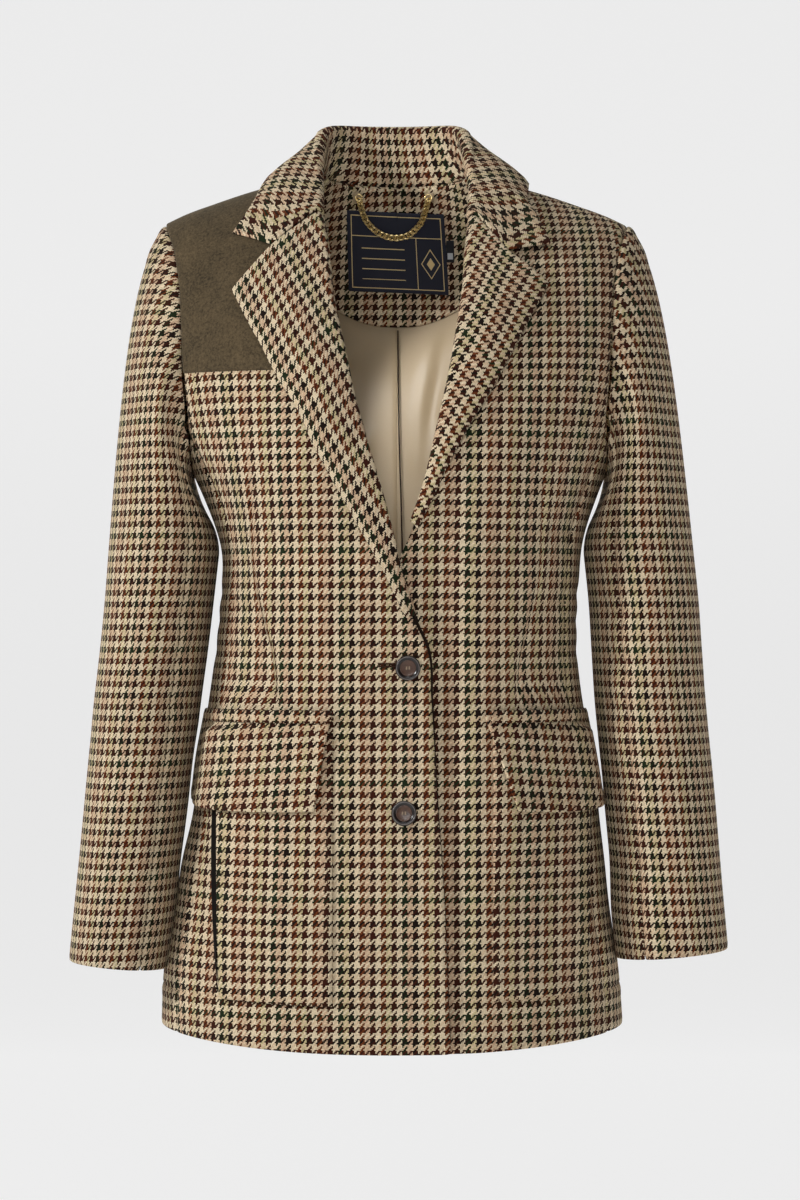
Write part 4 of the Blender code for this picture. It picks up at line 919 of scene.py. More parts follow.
sleevePlan = {
    onRight: {"sections": np.array([  # height, middle x, half width, middle y, half depth
        (-0.300, 0.1905, 0.0450, -0.008, 0.073), (-0.338, 0.1940, 0.0443, -0.010, 0.070),
        (-0.380, 0.1985, 0.0439, -0.011, 0.067), (-0.420, 0.2034, 0.0435, -0.013, 0.065),
        (-0.460, 0.2075, 0.0430, -0.016, 0.062), (-0.502, 0.2120, 0.0422, -0.020, 0.059),
        (-0.545, 0.2166, 0.0412, -0.024, 0.056), (-0.590, 0.2220, 0.0396, -0.028, 0.053),
        (-0.6375, 0.2276, 0.0381, -0.033, 0.050),
    ]), "creases": (  # length round the arm from its inner front, height
        (((0.060, -0.115), (0.052, -0.165), (0.050, -0.225)), 10, -1.6),
        (((0.028, -0.175), (0.024, -0.240), (0.034, -0.300)), 9, -1.7),
        (((0.010, -0.330), (0.034, -0.352), (0.066, -0.348)), 8, -1.8),
        (((0.008, -0.368), (0.030, -0.388), (0.060, -0.396)), 8, -2.0),
        (((0.000, -0.410), (0.030, -0.420), (0.056, -0.412)), 8, -1.6),
        (((0.080, -0.300), (0.094, -0.350), (0.090, -0.410)), 13, -1.4),
        (((0.016, -0.470), (0.040, -0.500), (0.072, -0.510)), 10, -1.2),
        (((0.050, -0.555), (0.036, -0.590), (0.030, -0.625)), 9, -0.9),
        (((0.110, -0.150), (0.120, -0.220), (0.116, -0.300)), 14, -1.2),
        (((0.165, -0.350), (0.190, -0.372), (0.215, -0.366)), 10, -2.0),
        (((0.160, -0.392), (0.188, -0.408), (0.214, -0.404)), 9, -1.7),
        (((0.155, -0.440), (0.185, -0.450), (0.210, -0.462)), 10, -1.3),
    )},
    onLeft: {"sections": np.array([
        (-0.300, 0.1975, 0.0447, -0.008, 0.073), (-0.338, 0.2013, 0.0447, -0.010, 0.070),
        (-0.380, 0.2040, 0.0449, -0.011, 0.067), (-0.420, 0.2066, 0.0451, -0.013, 0.065),
        (-0.460, 0.2103, 0.0451, -0.016, 0.062), (-0.502, 0.2140, 0.0451, -0.020, 0.059),
        (-0.545, 0.2175, 0.0447, -0.024, 0.056), (-0.584, 0.2206, 0.0443, -0.028, 0.053),
        (-0.6285, 0.2245, 0.0439, -0.033, 0.050),
    ]), "creases": (
        (((0.062, -0.110), (0.056, -0.165), (0.060, -0.235)), 11, -1.7),
        (((0.030, -0.180), (0.028, -0.250), (0.040, -0.310)), 10, -1.6),
        (((0.006, -0.338), (0.030, -0.350), (0.058, -0.340)), 8, -1.7),
        (((0.010, -0.378), (0.036, -0.392), (0.068, -0.386)), 9, -2.1),
        (((0.004, -0.418), (0.034, -0.432), (0.062, -0.436)), 8, -1.6),
        (((0.084, -0.315), (0.098, -0.360), (0.096, -0.425)), 13, -1.5),
        (((0.014, -0.480), (0.042, -0.492), (0.074, -0.486)), 10, -1.1),
        (((0.048, -0.545), (0.036, -0.580), (0.034, -0.615)), 9, -0.9),
        (((0.112, -0.155), (0.120, -0.230), (0.112, -0.300)), 14, -1.2),
        (((0.162, -0.356), (0.188, -0.366), (0.214, -0.374)), 10, -1.9),
        (((0.160, -0.398), (0.190, -0.412), (0.216, -0.408)), 9, -1.8),
        (((0.156, -0.448), (0.186, -0.452), (0.212, -0.470)), 10, -1.2),
    )},
}
armStep = 2.0  # degrees between the columns round the arm
topFrom, topTo = 240, 120  # the top sleeve runs between these degrees, over 0 at the outside


def ringAt(side, degrees):
    # Points of the armhole seam and the torso's normals there
    under = ((degrees > underArm) & (degrees < 360 - underArm))[:, None]
    start = angleOf(seamShare)
    a = start + (math.pi - 2 * start) * np.clip((degrees - underArm) / 90, 0, 1)
    z = ringZ(degrees)
    lowPoint = around(a, z, side)
    lowNormal = unit(around(a, z, side, 0.01) - lowPoint)
    v = np.maximum(ringRow(np.minimum(np.minimum(degrees, 360 - degrees), underArm)), 0.01)
    x = side * 0.18 + 0 * degrees
    for _ in range(12):
        x = side * seamX(surface(x, v, atFront)[..., 2], side)
    ahead = (degrees <= 180)[:, None]
    high = np.where(ahead, surface(x, v, atFront), surface(x, v, atBack))
    highNormal = np.where(ahead, normals(x, v, atFront), normals(x, v, atBack))
    return np.where(under, lowPoint, high), np.where(under, lowNormal, highNormal)


def sleeveSection(side, z, degrees):
    # A superellipse round the arm; its inner side falls back from a soft front fold
    mid, half, yMid, deep = (curve(sleevePlan[side]["sections"], z, k) for k in (1, 2, 3, 4))
    c, s = np.cos(np.radians(degrees)), np.sin(np.radians(degrees))
    power = 0.88 + 0.55 * smoothstep(0.05, 0.55, -c) * smoothstep(-0.2, 0.2, s)
    x = side * (mid + half * signedPower(c, 0.88))
    return np.stack([x, yMid - deep * signedPower(s, power), z + 0 * x], axis=-1)


def clearOfTorso(points, clearance):
    x, y, z = points[..., 0], points[..., 1], points[..., 2]
    half, sway = curve(torsoRows, z), curve(swayRows, z)
    deep = np.where(y < 0, curve(torsoRows, z, 2), curve(torsoRows, z, 3))
    size = (np.abs((x - sway) / half) ** formPower + np.abs(y / deep) ** formPower) ** (1 / formPower)
    push = np.maximum((1 + clearance / half) / np.maximum(size, 1e-6), 1.0)
    return np.stack([sway + (x - sway) * push, y * push, z], axis=-1)


def sleeveGrid(side, degrees, capCount=56, lowCount=96):
    # Rows from the armhole to the cuff: a cubic from the ring into the arm's sections
    sections = sleevePlan[side]["sections"]
    ring, body = ringAt(side, degrees)
    away = unit(np.cross(np.roll(ring, -1, axis=0) - np.roll(ring, 1, axis=0), body))
    away = away * np.where(((ring.mean(axis=0) - ring) * away).sum(axis=1, keepdims=True) < 0, -1, 1)
    low = smoothstep(95, 150, np.minimum(degrees, 360 - degrees))[:, None]
    start = ring - away * 1.0 * mm + body * low * 0.36 * mm
    c, s = np.cos(np.radians(degrees))[:, None], np.sin(np.radians(degrees))[:, None]
    out, flat, below = np.maximum(c, 0), np.abs(s), np.maximum(-c, 0)
    go = unit(np.concatenate([side * (out + 0.62 * flat + 0.25 * below), -np.sign(s) * 0.42 * flat,
                              -(0.55 * out + 0.75 * flat + below)], axis=1))
    full = np.full(len(degrees), sections[0, 0])
    end = sleeveSection(side, full, degrees)
    along = unit(end - sleeveSection(side, full - 0.03, degrees))
    reach = np.linalg.norm(end - start, axis=1, keepdims=True)
    pullStart = start + go * np.minimum(reach * 0.33, 0.028 + 0.03 * flat)
    pullEnd = end + along * (reach * 0.42)
    t = (np.linspace(0, 1, capCount) ** 1.25)[:, None, None]
    cap = (1 - t) ** 3 * start + 3 * t * (1 - t) ** 2 * pullStart + 3 * t * t * (1 - t) * pullEnd + t ** 3 * end
    z = np.linspace(sections[0, 0], sections[-1, 0], lowCount)[1:]
    rest = np.array([sleeveSection(side, np.full(len(degrees), h), degrees) for h in z])
    # The cuff's outer side is cut a little higher
    tilt = 0.0050 + 0.10 * (side * rest[..., 0] - curve(sections, rest[..., 2], 1))
    rest[..., 2] += tilt * smoothstep(-0.50, -0.6375, rest[..., 2])
    points = np.concatenate([cap, rest])
    free = 10  # the first rows keep their seam on the armhole
    arm = points[free:]
    z = arm[..., 2].copy()
    lower = smoothstep(-0.54, -0.60, z)
    beside = smoothstep(-0.535, -0.505, z) * smoothstep(-0.40, -0.425, z)
    arm[..., 0] -= side * 0.0030 * lower * smoothstep(0.0, -0.03, side * arm[..., 0] - curve(sections, z, 1))
    share = smoothstep(8, 30, np.arange(free, len(points)))[:, None, None]
    points[free:] = arm * (1 - share) + clearOfTorso(arm, 0.0030 + 0.0022 * (beside - lower)) * share
    return points


def buildSleeves():
    degrees = np.arange(0, 360, armStep)
    count = len(degrees)
    begin, first, last = int(150 / armStep), int(topFrom / armStep), int(topTo / armStep)
    cuts = (("top_sleeve_", np.arange(first, count + last + 1) % count), ("under_sleeve_", np.arange(last, first + 1)))
    for side, tag in sides:
        points = sleeveGrid(side, degrees)
        facing = gridNormals(points, wrap=True)
        centre = points.mean(axis=1, keepdims=True)
        facing = facing * np.sign(((points - centre) * facing).sum(axis=2).mean())
        # Length round the arm from its inner front, and down it from the end of the cap
        lengths = np.linalg.norm(np.roll(points, -1, axis=1) - points, axis=2).mean(axis=0)
        order = (begin - np.arange(count)) % count
        spot = np.zeros(count)
        spot[order] = np.concatenate([[0], np.cumsum(lengths[order][:-1])])
        down = runs(points)
        down = down - down[56] + 0.30
        # The sleeve head stands a little over its seam
        rows = np.arange(len(points))[:, None]
        crown = np.cos(np.radians(degrees / 2)) ** 2
        relief = creases(spot + 0 * down, points[..., 2], sleevePlan[side]["creases"])
        relief = relief + 1.4 * mm * crown * bell(rows - 5, 4.0) - 1.1 * mm * bell(rows, 1.2)
        for name, columns in cuts:
            p = points[:, columns].copy()
            for edge, inward in ((0, 1), (-1, -2)):
                p[:, edge] += unit(p[:, inward] - p[:, edge]) * 0.4 * mm
            wide = np.concatenate([[0], np.cumsum(lengths[columns][:-1])])
            uv = np.stack([wide + 0 * down[:, columns], down[:, columns]], axis=-1)
            isTop = name == "top_sleeve_"
            dip = seamDip(np.linspace(0, 1, len(columns)), 0.012 if isTop else 0.03, 0.8 * mm)
            piece = clothPiece(name + tag, p, relief[:, columns] + dip, uv, facing[:, columns])


buildSleeves()
print("sleeves made")

# Where the collar's leaf and the lapel lie in front, by side: x on its own side, z
leafPlan = {
    onRight: {"edge": ((0.1128, -0.0133), (0.1200, -0.0263)),
              "tip": (0.1312, -0.0442), "notch": (0.0985, -0.0555), "gorge": (0.0650, -0.0255)},
    onLeft: {"edge": ((0.1045, -0.0175), (0.1110, -0.0270)),
             "tip": (0.1228, -0.0537), "notch": (0.0872, -0.0602), "gorge": (0.0620, -0.0285)},
}
lapelPlan = {
    onRight: {"roll": openingRight, "notch": (0.0985, -0.0572), "bottom": -0.3500, "edge": (
        (0.1305, -0.0914), (0.1233, -0.1058), (0.1161, -0.1202), (0.1081, -0.1338), (0.0987, -0.1525),
        (0.0900, -0.1683), (0.0766, -0.1896), (0.0671, -0.2117), (0.0552, -0.2338), (0.0410, -0.2591),
        (0.0275, -0.2830), (0.0145, -0.3066), (0.0015, -0.3330), (-0.0065, -0.3500))},
    onLeft: {"roll": openingLeft, "notch": (0.0872, -0.0620), "bottom": -0.2790, "edge": (
        (0.1201, -0.0858), (0.1153, -0.0962), (0.1089, -0.1074), (0.0985, -0.1274), (0.0884, -0.1462),
        (0.0797, -0.1628), (0.0695, -0.1802), (0.0576, -0.1999), (0.0458, -0.2212), (0.0363, -0.2393),
        (0.0275, -0.2595), (0.0192, -0.2760), (0.0160, -0.2830))},
}
rollTurns = np.radians((-100, -55, -10, 40, 80))  # round the rolled edge, from the inside over to the outside
lapelRows = 18


def rollRadius(z):
    return (3.5 + 0.9 * smoothstep(-0.25, -0.10, z)) * mm


def lapelMiddle(side):
    # Middle surface: the rolled edge, then the leaf from the roll line out to its edge
    shape = lapelPlan[side]
    edge = np.array(shape["edge"])
    top = leafPlan[side]["gorge"][1] - 0.0024
    share = np.linspace(0, 1, lapelRows)
    outer = curvePoints(runs(edge) / runs(edge)[-1], edge, share)
    rollZ = top + (shape["bottom"] - top) * share
    roll = np.stack([curve(shape["roll"], rollZ), rollZ], axis=-1)
    t = np.linspace(0, 1, 7)[1:]
    line = roll[:, None] + (outer - roll)[:, None] * t[:, None]
    notch = np.array(shape["notch"])
    toNotch = np.linalg.norm(notch - roll[0])
    bendAt = toNotch / (toNotch + np.linalg.norm(outer[0] - notch))
    bend = notch - (roll[0] + (outer[0] - roll[0]) * bendAt)
    hat = np.minimum(t / bendAt, (1 - t) / (1 - bendAt))[:, None]
    line = line + bend * hat * (1 - smoothstep(0, 0.3, share))[:, None, None]
    radius = rollRadius(rollZ)
    near = (radius - tweedThick / 2)[:, None]
    swell = np.minimum(0.004, np.linalg.norm(outer - roll, axis=1) * 0.07)[:, None]
    off = near + (0.004 - near) * t + swell * np.sin(math.pi * t)
    base = skinAt(side * roll[:, 0], rollZ, atFront, -tweedThick / 2)
    n = unit(skinAt(side * roll[:, 0], rollZ, atFront, 0.01) - base)
    out = unit(np.cross(n, unit(np.gradient(base, axis=0))))
    out = out * np.sign(out[:, :1] * side)
    if side == onLeft:
        off = off - dipAt(line[..., 0], line[..., 1])
        base = base - n * dipAt(base[:, 0], base[:, 2])[:, None]
    flat = skinAt(side * line[..., 0], line[..., 1], atFront, off)
    round_ = n[:, None] * np.sin(rollTurns)[:, None] - out[:, None] * np.cos(rollTurns)[:, None]
    return np.concatenate([base[:, None] + radius[:, None, None] * round_, flat], axis=1), n


def buildLapels():
    rows = np.unique(np.concatenate([np.linspace(0, lapelRows - 1, 96), [0.12, 0.3, lapelRows - 1.2]]))
    columns = np.unique(np.concatenate([np.linspace(0, 4, 14), np.linspace(4, 10, 26), [9.93, 9.82]]))
    for side, tag in sides:
        middle, n = lapelMiddle(side)
        fine = refine(middle, rows, columns)
        facing = gridNormals(fine)
        facing = facing * np.sign((facing[:, -6] * n[np.round(rows).astype(int)]).sum(axis=1).mean())
        fromEdge = runs(fine[:, ::-1], 1)[:, ::-1]
        uv = np.stack([-fromEdge * side, runs(fine[:, -1])[:, None] + 0 * fromEdge], axis=-1)
        # The cloth is pressed thin at its outer edge
        relief = 0.25 * mm * (bell(fromEdge - 0.006, 0.003) - bell(fromEdge, 0.003))
        piece = clothPiece("lapel_" + tag, fine + facing * tweedThick / 2, relief, uv, facing)
        side == onRight


buildLapels()
print("lapels made")

collarPlan = {
    # Fold from the back middle to the front, on one side: x, y, z
    "fold": ((0.0, 0.0660, 0.0565), (0.025, 0.0635, 0.0565), (0.0450, 0.0535, 0.0560), (0.0572, 0.0370, 0.0520),
             (0.0605, 0.0165, 0.0370), (0.0608, -0.0080, 0.0150), (0.0605, -0.0300, -0.0060)),
    # Foot of the stand: distance from the middle, height, face
    "foot": ((0.0, 0.007, atBack), (0.024, 0.0075, atBack), (0.044, 0.009, atBack), (0.0575, 0.0115, atBack),
             (0.0622, 0.0150, atBack), (0.0612, 0.0030, atFront), (0.0612, -0.0180, atFront)),
    # Fall's edge behind the ridge: distance from the middle, height
    "fall": ((0.0, -0.012), (0.034, -0.014), (0.066, -0.018), (0.0945, -0.012)),
    "turn": (0, 0, 0, 0, 0.1, 0.45, 0.8),  # how far each cut has turned from the stand's fold into the lapel's roll
    "spots": (0, 0.055, 0.11, 0.165, 0.235, 0.315, 0.40, 0.5),  # place of each cut along the half collar
    "off": 4.6 * mm, "shift": -3.0 * mm,
}
legs = (1.0, 0.62, 0.25)  # steps down the stand's leg


def collarStation(side, index):
    # One cut across the collar: stand, fold and fall, as points of its middle surface
    plan, leaf = collarPlan, leafPlan[side]
    gorge, notch, tip = (np.array(leaf[key]) for key in ("gorge", "notch", "tip"))
    base = skinAt(side * gorge[0], gorge[1], atFront, -tweedThick / 2)
    n = unit(skinAt(side * gorge[0], gorge[1], atFront, 0.01) - base)
    lower = skinAt(side * (gorge[0] - 0.002), gorge[1] - 0.02, atFront, -tweedThick / 2)
    side3 = unit(np.cross(n, unit(lower - base)))
    side3 = side3 * np.sign(side3[0] * side)
    roll = rollRadius(gorge[1])
    if index == len(plan["fold"]):
        arc = [base + roll * (n * math.sin(t) - side3 * math.cos(t)) for t in rollTurns]
        stops = [gorge + (notch - gorge) * t for t in (0.2, 0.47, 0.74, 1.0)] + [(notch + tip) / 2, tip]
        near = roll - tweedThick / 2
        offs = [near + (plan["off"] - near) * t + 0.003 * math.sin(math.pi * t) for t in np.arange(1, 7) / 6]
        fall = [skinAt(side * p[0], p[1], atFront, off) for p, off in zip(stops, offs)]
        return np.array([base - n * roll + side3 * 0.008 * k for k in legs] + arc + fall)
    fold = np.array(plan["fold"][index]) * np.array([side, 1, 1])
    fold[0] += plan["shift"] * smoothstep(-0.02, 0.04, fold[2])
    x, z, face = plan["foot"][index]
    foot = skinAt(side * x, z, face, -collarThick / 2) + np.array([0, 0, 1.2 * mm])
    if index < 4:
        x, z = plan["fall"][index]
        end = skinAt(side * x, z, atBack, plan["off"])
    elif index == 4:
        end = skin(np.array(side * 0.1060), np.array(0.03), atFront, plan["off"])
    else:
        x, z = leaf["edge"][index - 5]
        end = skinAt(side * x, z, atFront, plan["off"])
    turn = plan["turn"][index]
    radius = plan["off"] * (1 - turn) + roll * turn
    over = unit(np.array([0, 0, 1.0]) * (1 - turn) - side3 * turn)
    outer = unit(unit((end - fold) * np.array([1, 1, 0])) * (1 - turn) + n * turn)
    outer = unit(outer - over * (outer @ over))
    centre = fold - over * radius
    arc = [centre + radius * (over * math.cos(t) + outer * math.sin(t)) for t in rollTurns]
    leg = centre - outer * radius
    stand = [foot, foot * 0.62 + leg * 0.38 - outer * 0.5 * mm, foot * 0.25 + leg * 0.75]
    if index >= 5:
        stand = [leg - over * 0.009 * k for k in legs]
    begin = centre + outer * radius
    middle = (begin + end) / 2 + unit(outer + over * 0.8) * (0.010 * (1 - turn) + 0.004 * turn)
    fall = [(1 - t) ** 2 * begin + 2 * t * (1 - t) * middle + t * t * end for t in np.arange(1, 7) / 6]
    return np.array(stand + arc + fall)


def collarGrid(count):
    spots = collarPlan["spots"]
    cuts = [(onRight, k) for k in range(len(spots) - 1, -1, -1)] + [(onLeft, k) for k in range(1, len(spots))]
    places = [0.5 + side * spots[k] for side, k in cuts]
    return curvePoints(places, [collarStation(side, k) for side, k in cuts], np.linspace(0, 1, count))


def keepOff(points, least):
    # Push points of the fall out to their least distance from the torso
    x, v = np.meshgrid(np.linspace(-0.16, 0.16, 161), np.linspace(0.01, 2.0, 120))
    base = np.concatenate([skin(x, v, face).reshape(-1, 3) for face in (atFront, atBack)])
    facing = np.concatenate([normals(x, v, face).reshape(-1, 3) for face in (atFront, atBack)])
    flat = points.reshape(-1, 3)
    near = ((base ** 2).sum(axis=1) - 2 * flat @ base.T).argmin(axis=1)
    gap = ((flat - base[near]) * facing[near]).sum(axis=1)
    return (flat + facing[near] * np.maximum(least.ravel() - gap, 0)[:, None]).reshape(points.shape)


def crossing(a, b, fromA, fromB, turn):
    # The point at two distances from two others, on the given side of them
    gap = np.linalg.norm(b - a)
    along = (fromA ** 2 - fromB ** 2 + gap ** 2) / (2 * gap)
    high = math.sqrt(max(fromA ** 2 - along ** 2, 0))
    ahead = (b - a) / gap
    return a + ahead * along + turn * high * np.array([ahead[1], -ahead[0]])


def unrolled(inner, outer, share):
    # Lay the strips between two lines flat in turn: each next pair is placed by its distances
    def far(a, b):
        return np.linalg.norm(a - b)

    middle = len(inner) // 2
    flatIn, flatOut = np.zeros((2, len(inner), 2))
    flatOut[middle] = (0, far(outer[middle], inner[middle]))
    for step in (1, -1):
        k = middle
        while 0 <= k + step < len(inner):
            n = k + step
            flatOut[n] = crossing(flatIn[k], flatOut[k], far(outer[n], inner[k]), far(outer[n], outer[k]), step)
            flatIn[n] = crossing(flatIn[k], flatOut[n], far(inner[n], inner[k]), far(outer[n], inner[n]), step)
            k = n
    return flatOut[:, None] + (flatIn - flatOut)[:, None] * share[..., None]


def buildCollar():
    grid = collarGrid(29)
    least = np.full(grid[:, 8:].shape[:2], collarPlan["off"])
    least[:, 0] = 2.5 * mm
    least[:, 1] = 3.6 * mm
    grid[:, 8:] = keepOff(grid[:, 8:], least)
    rows = np.unique(np.concatenate([np.linspace(0, 28, 190), [0.1, 27.9]]))
    columns = np.concatenate([np.linspace(0, 3, 14), np.linspace(3, 7, 14), np.linspace(7, 13, 28), [12.85, 12.95]])
    columns = np.unique(columns)
    fine = refine(grid, rows, columns)
    n = gridNormals(fine)
    n = n * np.sign(n[len(rows) // 2, -6, 1])
    down = runs(fine, 1)
    fromEdge = down[:, -1:] - down
    foldAt = int(np.argmin(np.abs(columns - 8)))
    uv = unrolled(fine[:, foldAt], fine[:, -1], fromEdge / np.maximum(fromEdge[:, foldAt], 1e-6)[:, None])
    relief = 0.25 * mm * bell(fromEdge - 0.007, 0.003) - 0.3 * mm * bell(fromEdge, 0.003)
    piece = clothPiece("collar", fine + n * collarThick / 2, relief, uv, n, collarThick)


buildCollar()
print("collar made")

insidePlan = {
    "facingOff": -tweedThick - 4.0 * mm, "liningOff": -tweedThick - 2.1 * mm, "liningWide": 0.145, "liningEnd": -0.66,
    # The facing's lower edge: distance from the middle, height
    "facingLow": np.array([(0.0, -0.105), (0.02, -0.1035), (0.05, -0.092), (0.09, -0.060), (0.12, -0.034)]),
    onRight: (
        (((-0.030, -0.120), (-0.060, -0.150), (-0.100, -0.175)), 9, 2.6),
        (((-0.020, -0.190), (-0.045, -0.240), (-0.085, -0.290)), 8, 3.0),
        (((-0.012, -0.260), (-0.024, -0.330), (-0.045, -0.400)), 7, 2.6),
        (((-0.048, -0.110), (-0.035, -0.160), (-0.040, -0.220)), 9, -2.0),
    ),
    onLeft: (
        (((0.030, -0.125), (0.020, -0.180), (0.016, -0.250)), 7, 2.4),
        (((0.060, -0.110), (0.045, -0.165), (0.030, -0.240)), 8, 2.8),
        (((0.085, -0.150), (0.065, -0.230), (0.045, -0.310)), 9, 2.6),
        (((0.042, -0.105), (0.034, -0.150), (0.026, -0.200)), 6, -1.6),
    ),
}


def buildFacing():
    xs = np.linspace(-0.112, 0.112, 110)
    own = np.abs(xs)
    top = np.where(own < neckEnd, curve(neckRows, np.minimum(own, neckEnd)), curve(ridgeRows, own))
    start = vAt(xs, np.minimum(top, curve(ridgeRows, own) - 0.004))
    t = np.linspace(0, 1, 50)[:, None]
    v = start + (vAt(xs, curve(insidePlan["facingLow"], own)) - start) * t
    x = xs + 0 * v
    off = insidePlan["facingOff"] + 1.3 * mm * (1 - smoothstep(0, 0.5, t)) + 0 * x
    inner = skin(x, v, atBack, off - tweedThick)
    uv = rightWay(inner, -normals(x, v, atBack), torsoMap(x, v, atBack))
    piece = closeShell("back_neck_facing", skin(x, v, atBack, off), inner, uv, paints["tweed"])
    settle(piece, "back_neck_facing")


def buildLining():
    wide = insidePlan["liningWide"]
    own = np.concatenate([[0.0002, 0.0012, 0.0026, 0.0045], np.linspace(0.007, wide, 60)])
    start = vAt(own, np.minimum(curve(insidePlan["facingLow"], np.minimum(own, 0.12)), -0.052) + 0.008)
    share = np.linspace(0, 1, 170)[:, None] ** 1.3
    v = start + (rowBelow(insidePlan["liningEnd"]) - start) * share
    z = surface(own + 0 * v, v, atBack)[..., 2]
    for side, tag in sides:
        x = own * (curve(swayRows, z) / wide + side * np.minimum(1.0, curve(torsoRows, z) * 0.77 / wide))
        # The middle pleat: one side folds under the other, and soft falls beside it
        pleat = 0.96 * mm * bell(x, 0.0022) * (1 if side == onRight else -0.2)
        off = insidePlan["liningOff"] - 3.0 * mm * bell(x, 0.012) * share - creases(x, z, insidePlan[side]) + pleat
        off = np.minimum(off, -tweedThick - 0.6 * mm)
        outer = skin(x, v, atBack, off)
        uv = np.stack([runs(outer, 1), runs(outer)], axis=-1)
        piece = closeShell("lining_" + tag, outer, skin(x, v, atBack, off - satinThick), uv, paints["satin"])
        settle(piece, "lining_" + tag)


buildFacing()
buildLining()
print("facing and lining made")

patchPlan = {
    "inner": 0.088, "low": -0.156, "trim": 0.8 * mm, "off": 2.1 * mm, "firstRow": 0.03, "creases": (
        (((-0.165, -0.06), (-0.150, -0.10), (-0.152, -0.145)), 10, -0.8),
        (((-0.120, -0.03), (-0.125, -0.075), (-0.135, -0.12)), 12, 0.8),
    ),
}


def buildPatch():
    # Shoulder patch, laid over the right front above the chest; its edges are turned under and stitched
    plan = patchPlan
    columns = np.unique(np.concatenate([np.linspace(0, 1, 44), [0.01, 0.025, 0.975, 0.99]]))
    rows = np.linspace(plan["firstRow"], 1.54, 72)
    x, v = panel(onRight, atFront, lambda z: plan["inner"] + 0 * z, rows, columns, gap=plan["trim"])
    u = columns[None, :]
    share = np.linspace(0, 1, 72)[:, None]
    v = plan["firstRow"] + (vAt(x[-1], plan["low"] + 0 * x[-1]) - plan["firstRow"]) * share
    for _ in range(10):
        z = surface(x, v, atFront)[..., 2]
        x = ownX(onRight, plan["inner"] + 0 * z, seamX(z, onRight) - plan["trim"], u, z)
    relief = seamDip(u, 0.016, 0.7 * mm, low=False) - 0.5 * mm * bell(np.minimum(share, 1 - share), 0.012)
    relief = relief - 0.45 * mm * bell(1 - share - 0.035, 0.010) + creases(x, z, plan["creases"])
    piece = clothPiece("gun_patch", skin(x, v, atFront, plan["off"]), relief, torsoMap(x, v, atFront),
                       normals(x, v, atFront), patchThick, "moleskin")


buildPatch()
print("patch made")

# Pockets by side: x on its own side of the inner and outer edges, the flap's corners and the welt's end
pocketPlan = {
    onRight: {"inner": 0.0508, "outer": 0.1400, "bottom": -0.6585, "flapTop": 0.0520, "flapLow": 0.0637,
              "welt": 0.0512, "foldWide": 8.6 * mm, "foldEnd": -0.648},
    onLeft: {"inner": 0.0764, "outer": 0.1500, "bottom": -0.6560, "flapTop": 0.0693, "flapLow": 0.0921,
             "welt": 0.0735, "foldWide": 6.4 * mm, "foldEnd": -0.560},
}
weltTop, weltLow = -0.4262, -0.4362
flapTop, flapLow = -0.4285, -0.5000
pocketTop = -0.446
pocketProud = 6.8 * mm  # how far the pocket's outer edge stands off
flapEnd, weltEnd = math.radians(86), math.radians(81)
pocketCreases = (
    (((0.085, -0.520), (0.090, -0.570), (0.086, -0.625)), 9, -0.8),
    (((0.118, -0.530), (0.122, -0.590), (0.118, -0.640)), 10, -0.9),
)


def pocketOff(share):
    lie = layGap + tweedThick
    return lie + (pocketProud - lie) * smoothstep(0.45, 1.0, share)


def frontLie(side, a, z):
    # Extra depth where the front itself lies inward
    return -dipAt(curve(torsoRows, z) * np.sin(a), z) if side == onLeft else 0 * z * a


def buildPocket(side, tag):
    shape = pocketPlan[side]
    low = shape["bottom"]
    rows = np.concatenate([np.linspace(pocketTop, low, 78), [low + 0.8 * mm, low + 2.0 * mm]])
    rows = np.unique(rows)[::-1, None]
    share = np.unique(np.concatenate([np.linspace(0, 1, 46), [0.008, 0.02, 0.97, 0.985, 0.993]]))[None, :]
    start = angleAt(side, shape["inner"], rows)
    a = start + (angleAt(side, shape["outer"], rows) - start) * share
    out = side * curve(torsoRows, rows) * np.abs(np.sin(a)) ** (2 / formPower)
    z = rows + 0.9 * lift(out, rows)
    off = np.maximum(pocketOff(share) * (1 - 0.45 * smoothstep(-0.60, low, rows)), layGap + tweedThick)
    points = around(a, z, side, off + frontLie(side, a, z))
    # Sewn down along its inner edge and bottom; a soft fold runs down inside it, and the top sags a little
    sewn = -0.9 * mm * (bell(share, 0.022) + bell(rows - low, 1.6 * mm))
    fold = -0.9 * mm * bell(share - 0.26, 0.045) * smoothstep(-0.66, -0.62, rows)
    full = 1.3 * mm * np.sin(math.pi * share) ** 1.5 * smoothstep(low, low + 0.05, rows)
    relief = sewn + fold + full + creases(points[..., 0] * side, points[..., 2], pocketCreases)
    piece = clothPiece("pocket_" + tag, points, relief, aroundMap(a, z, side))


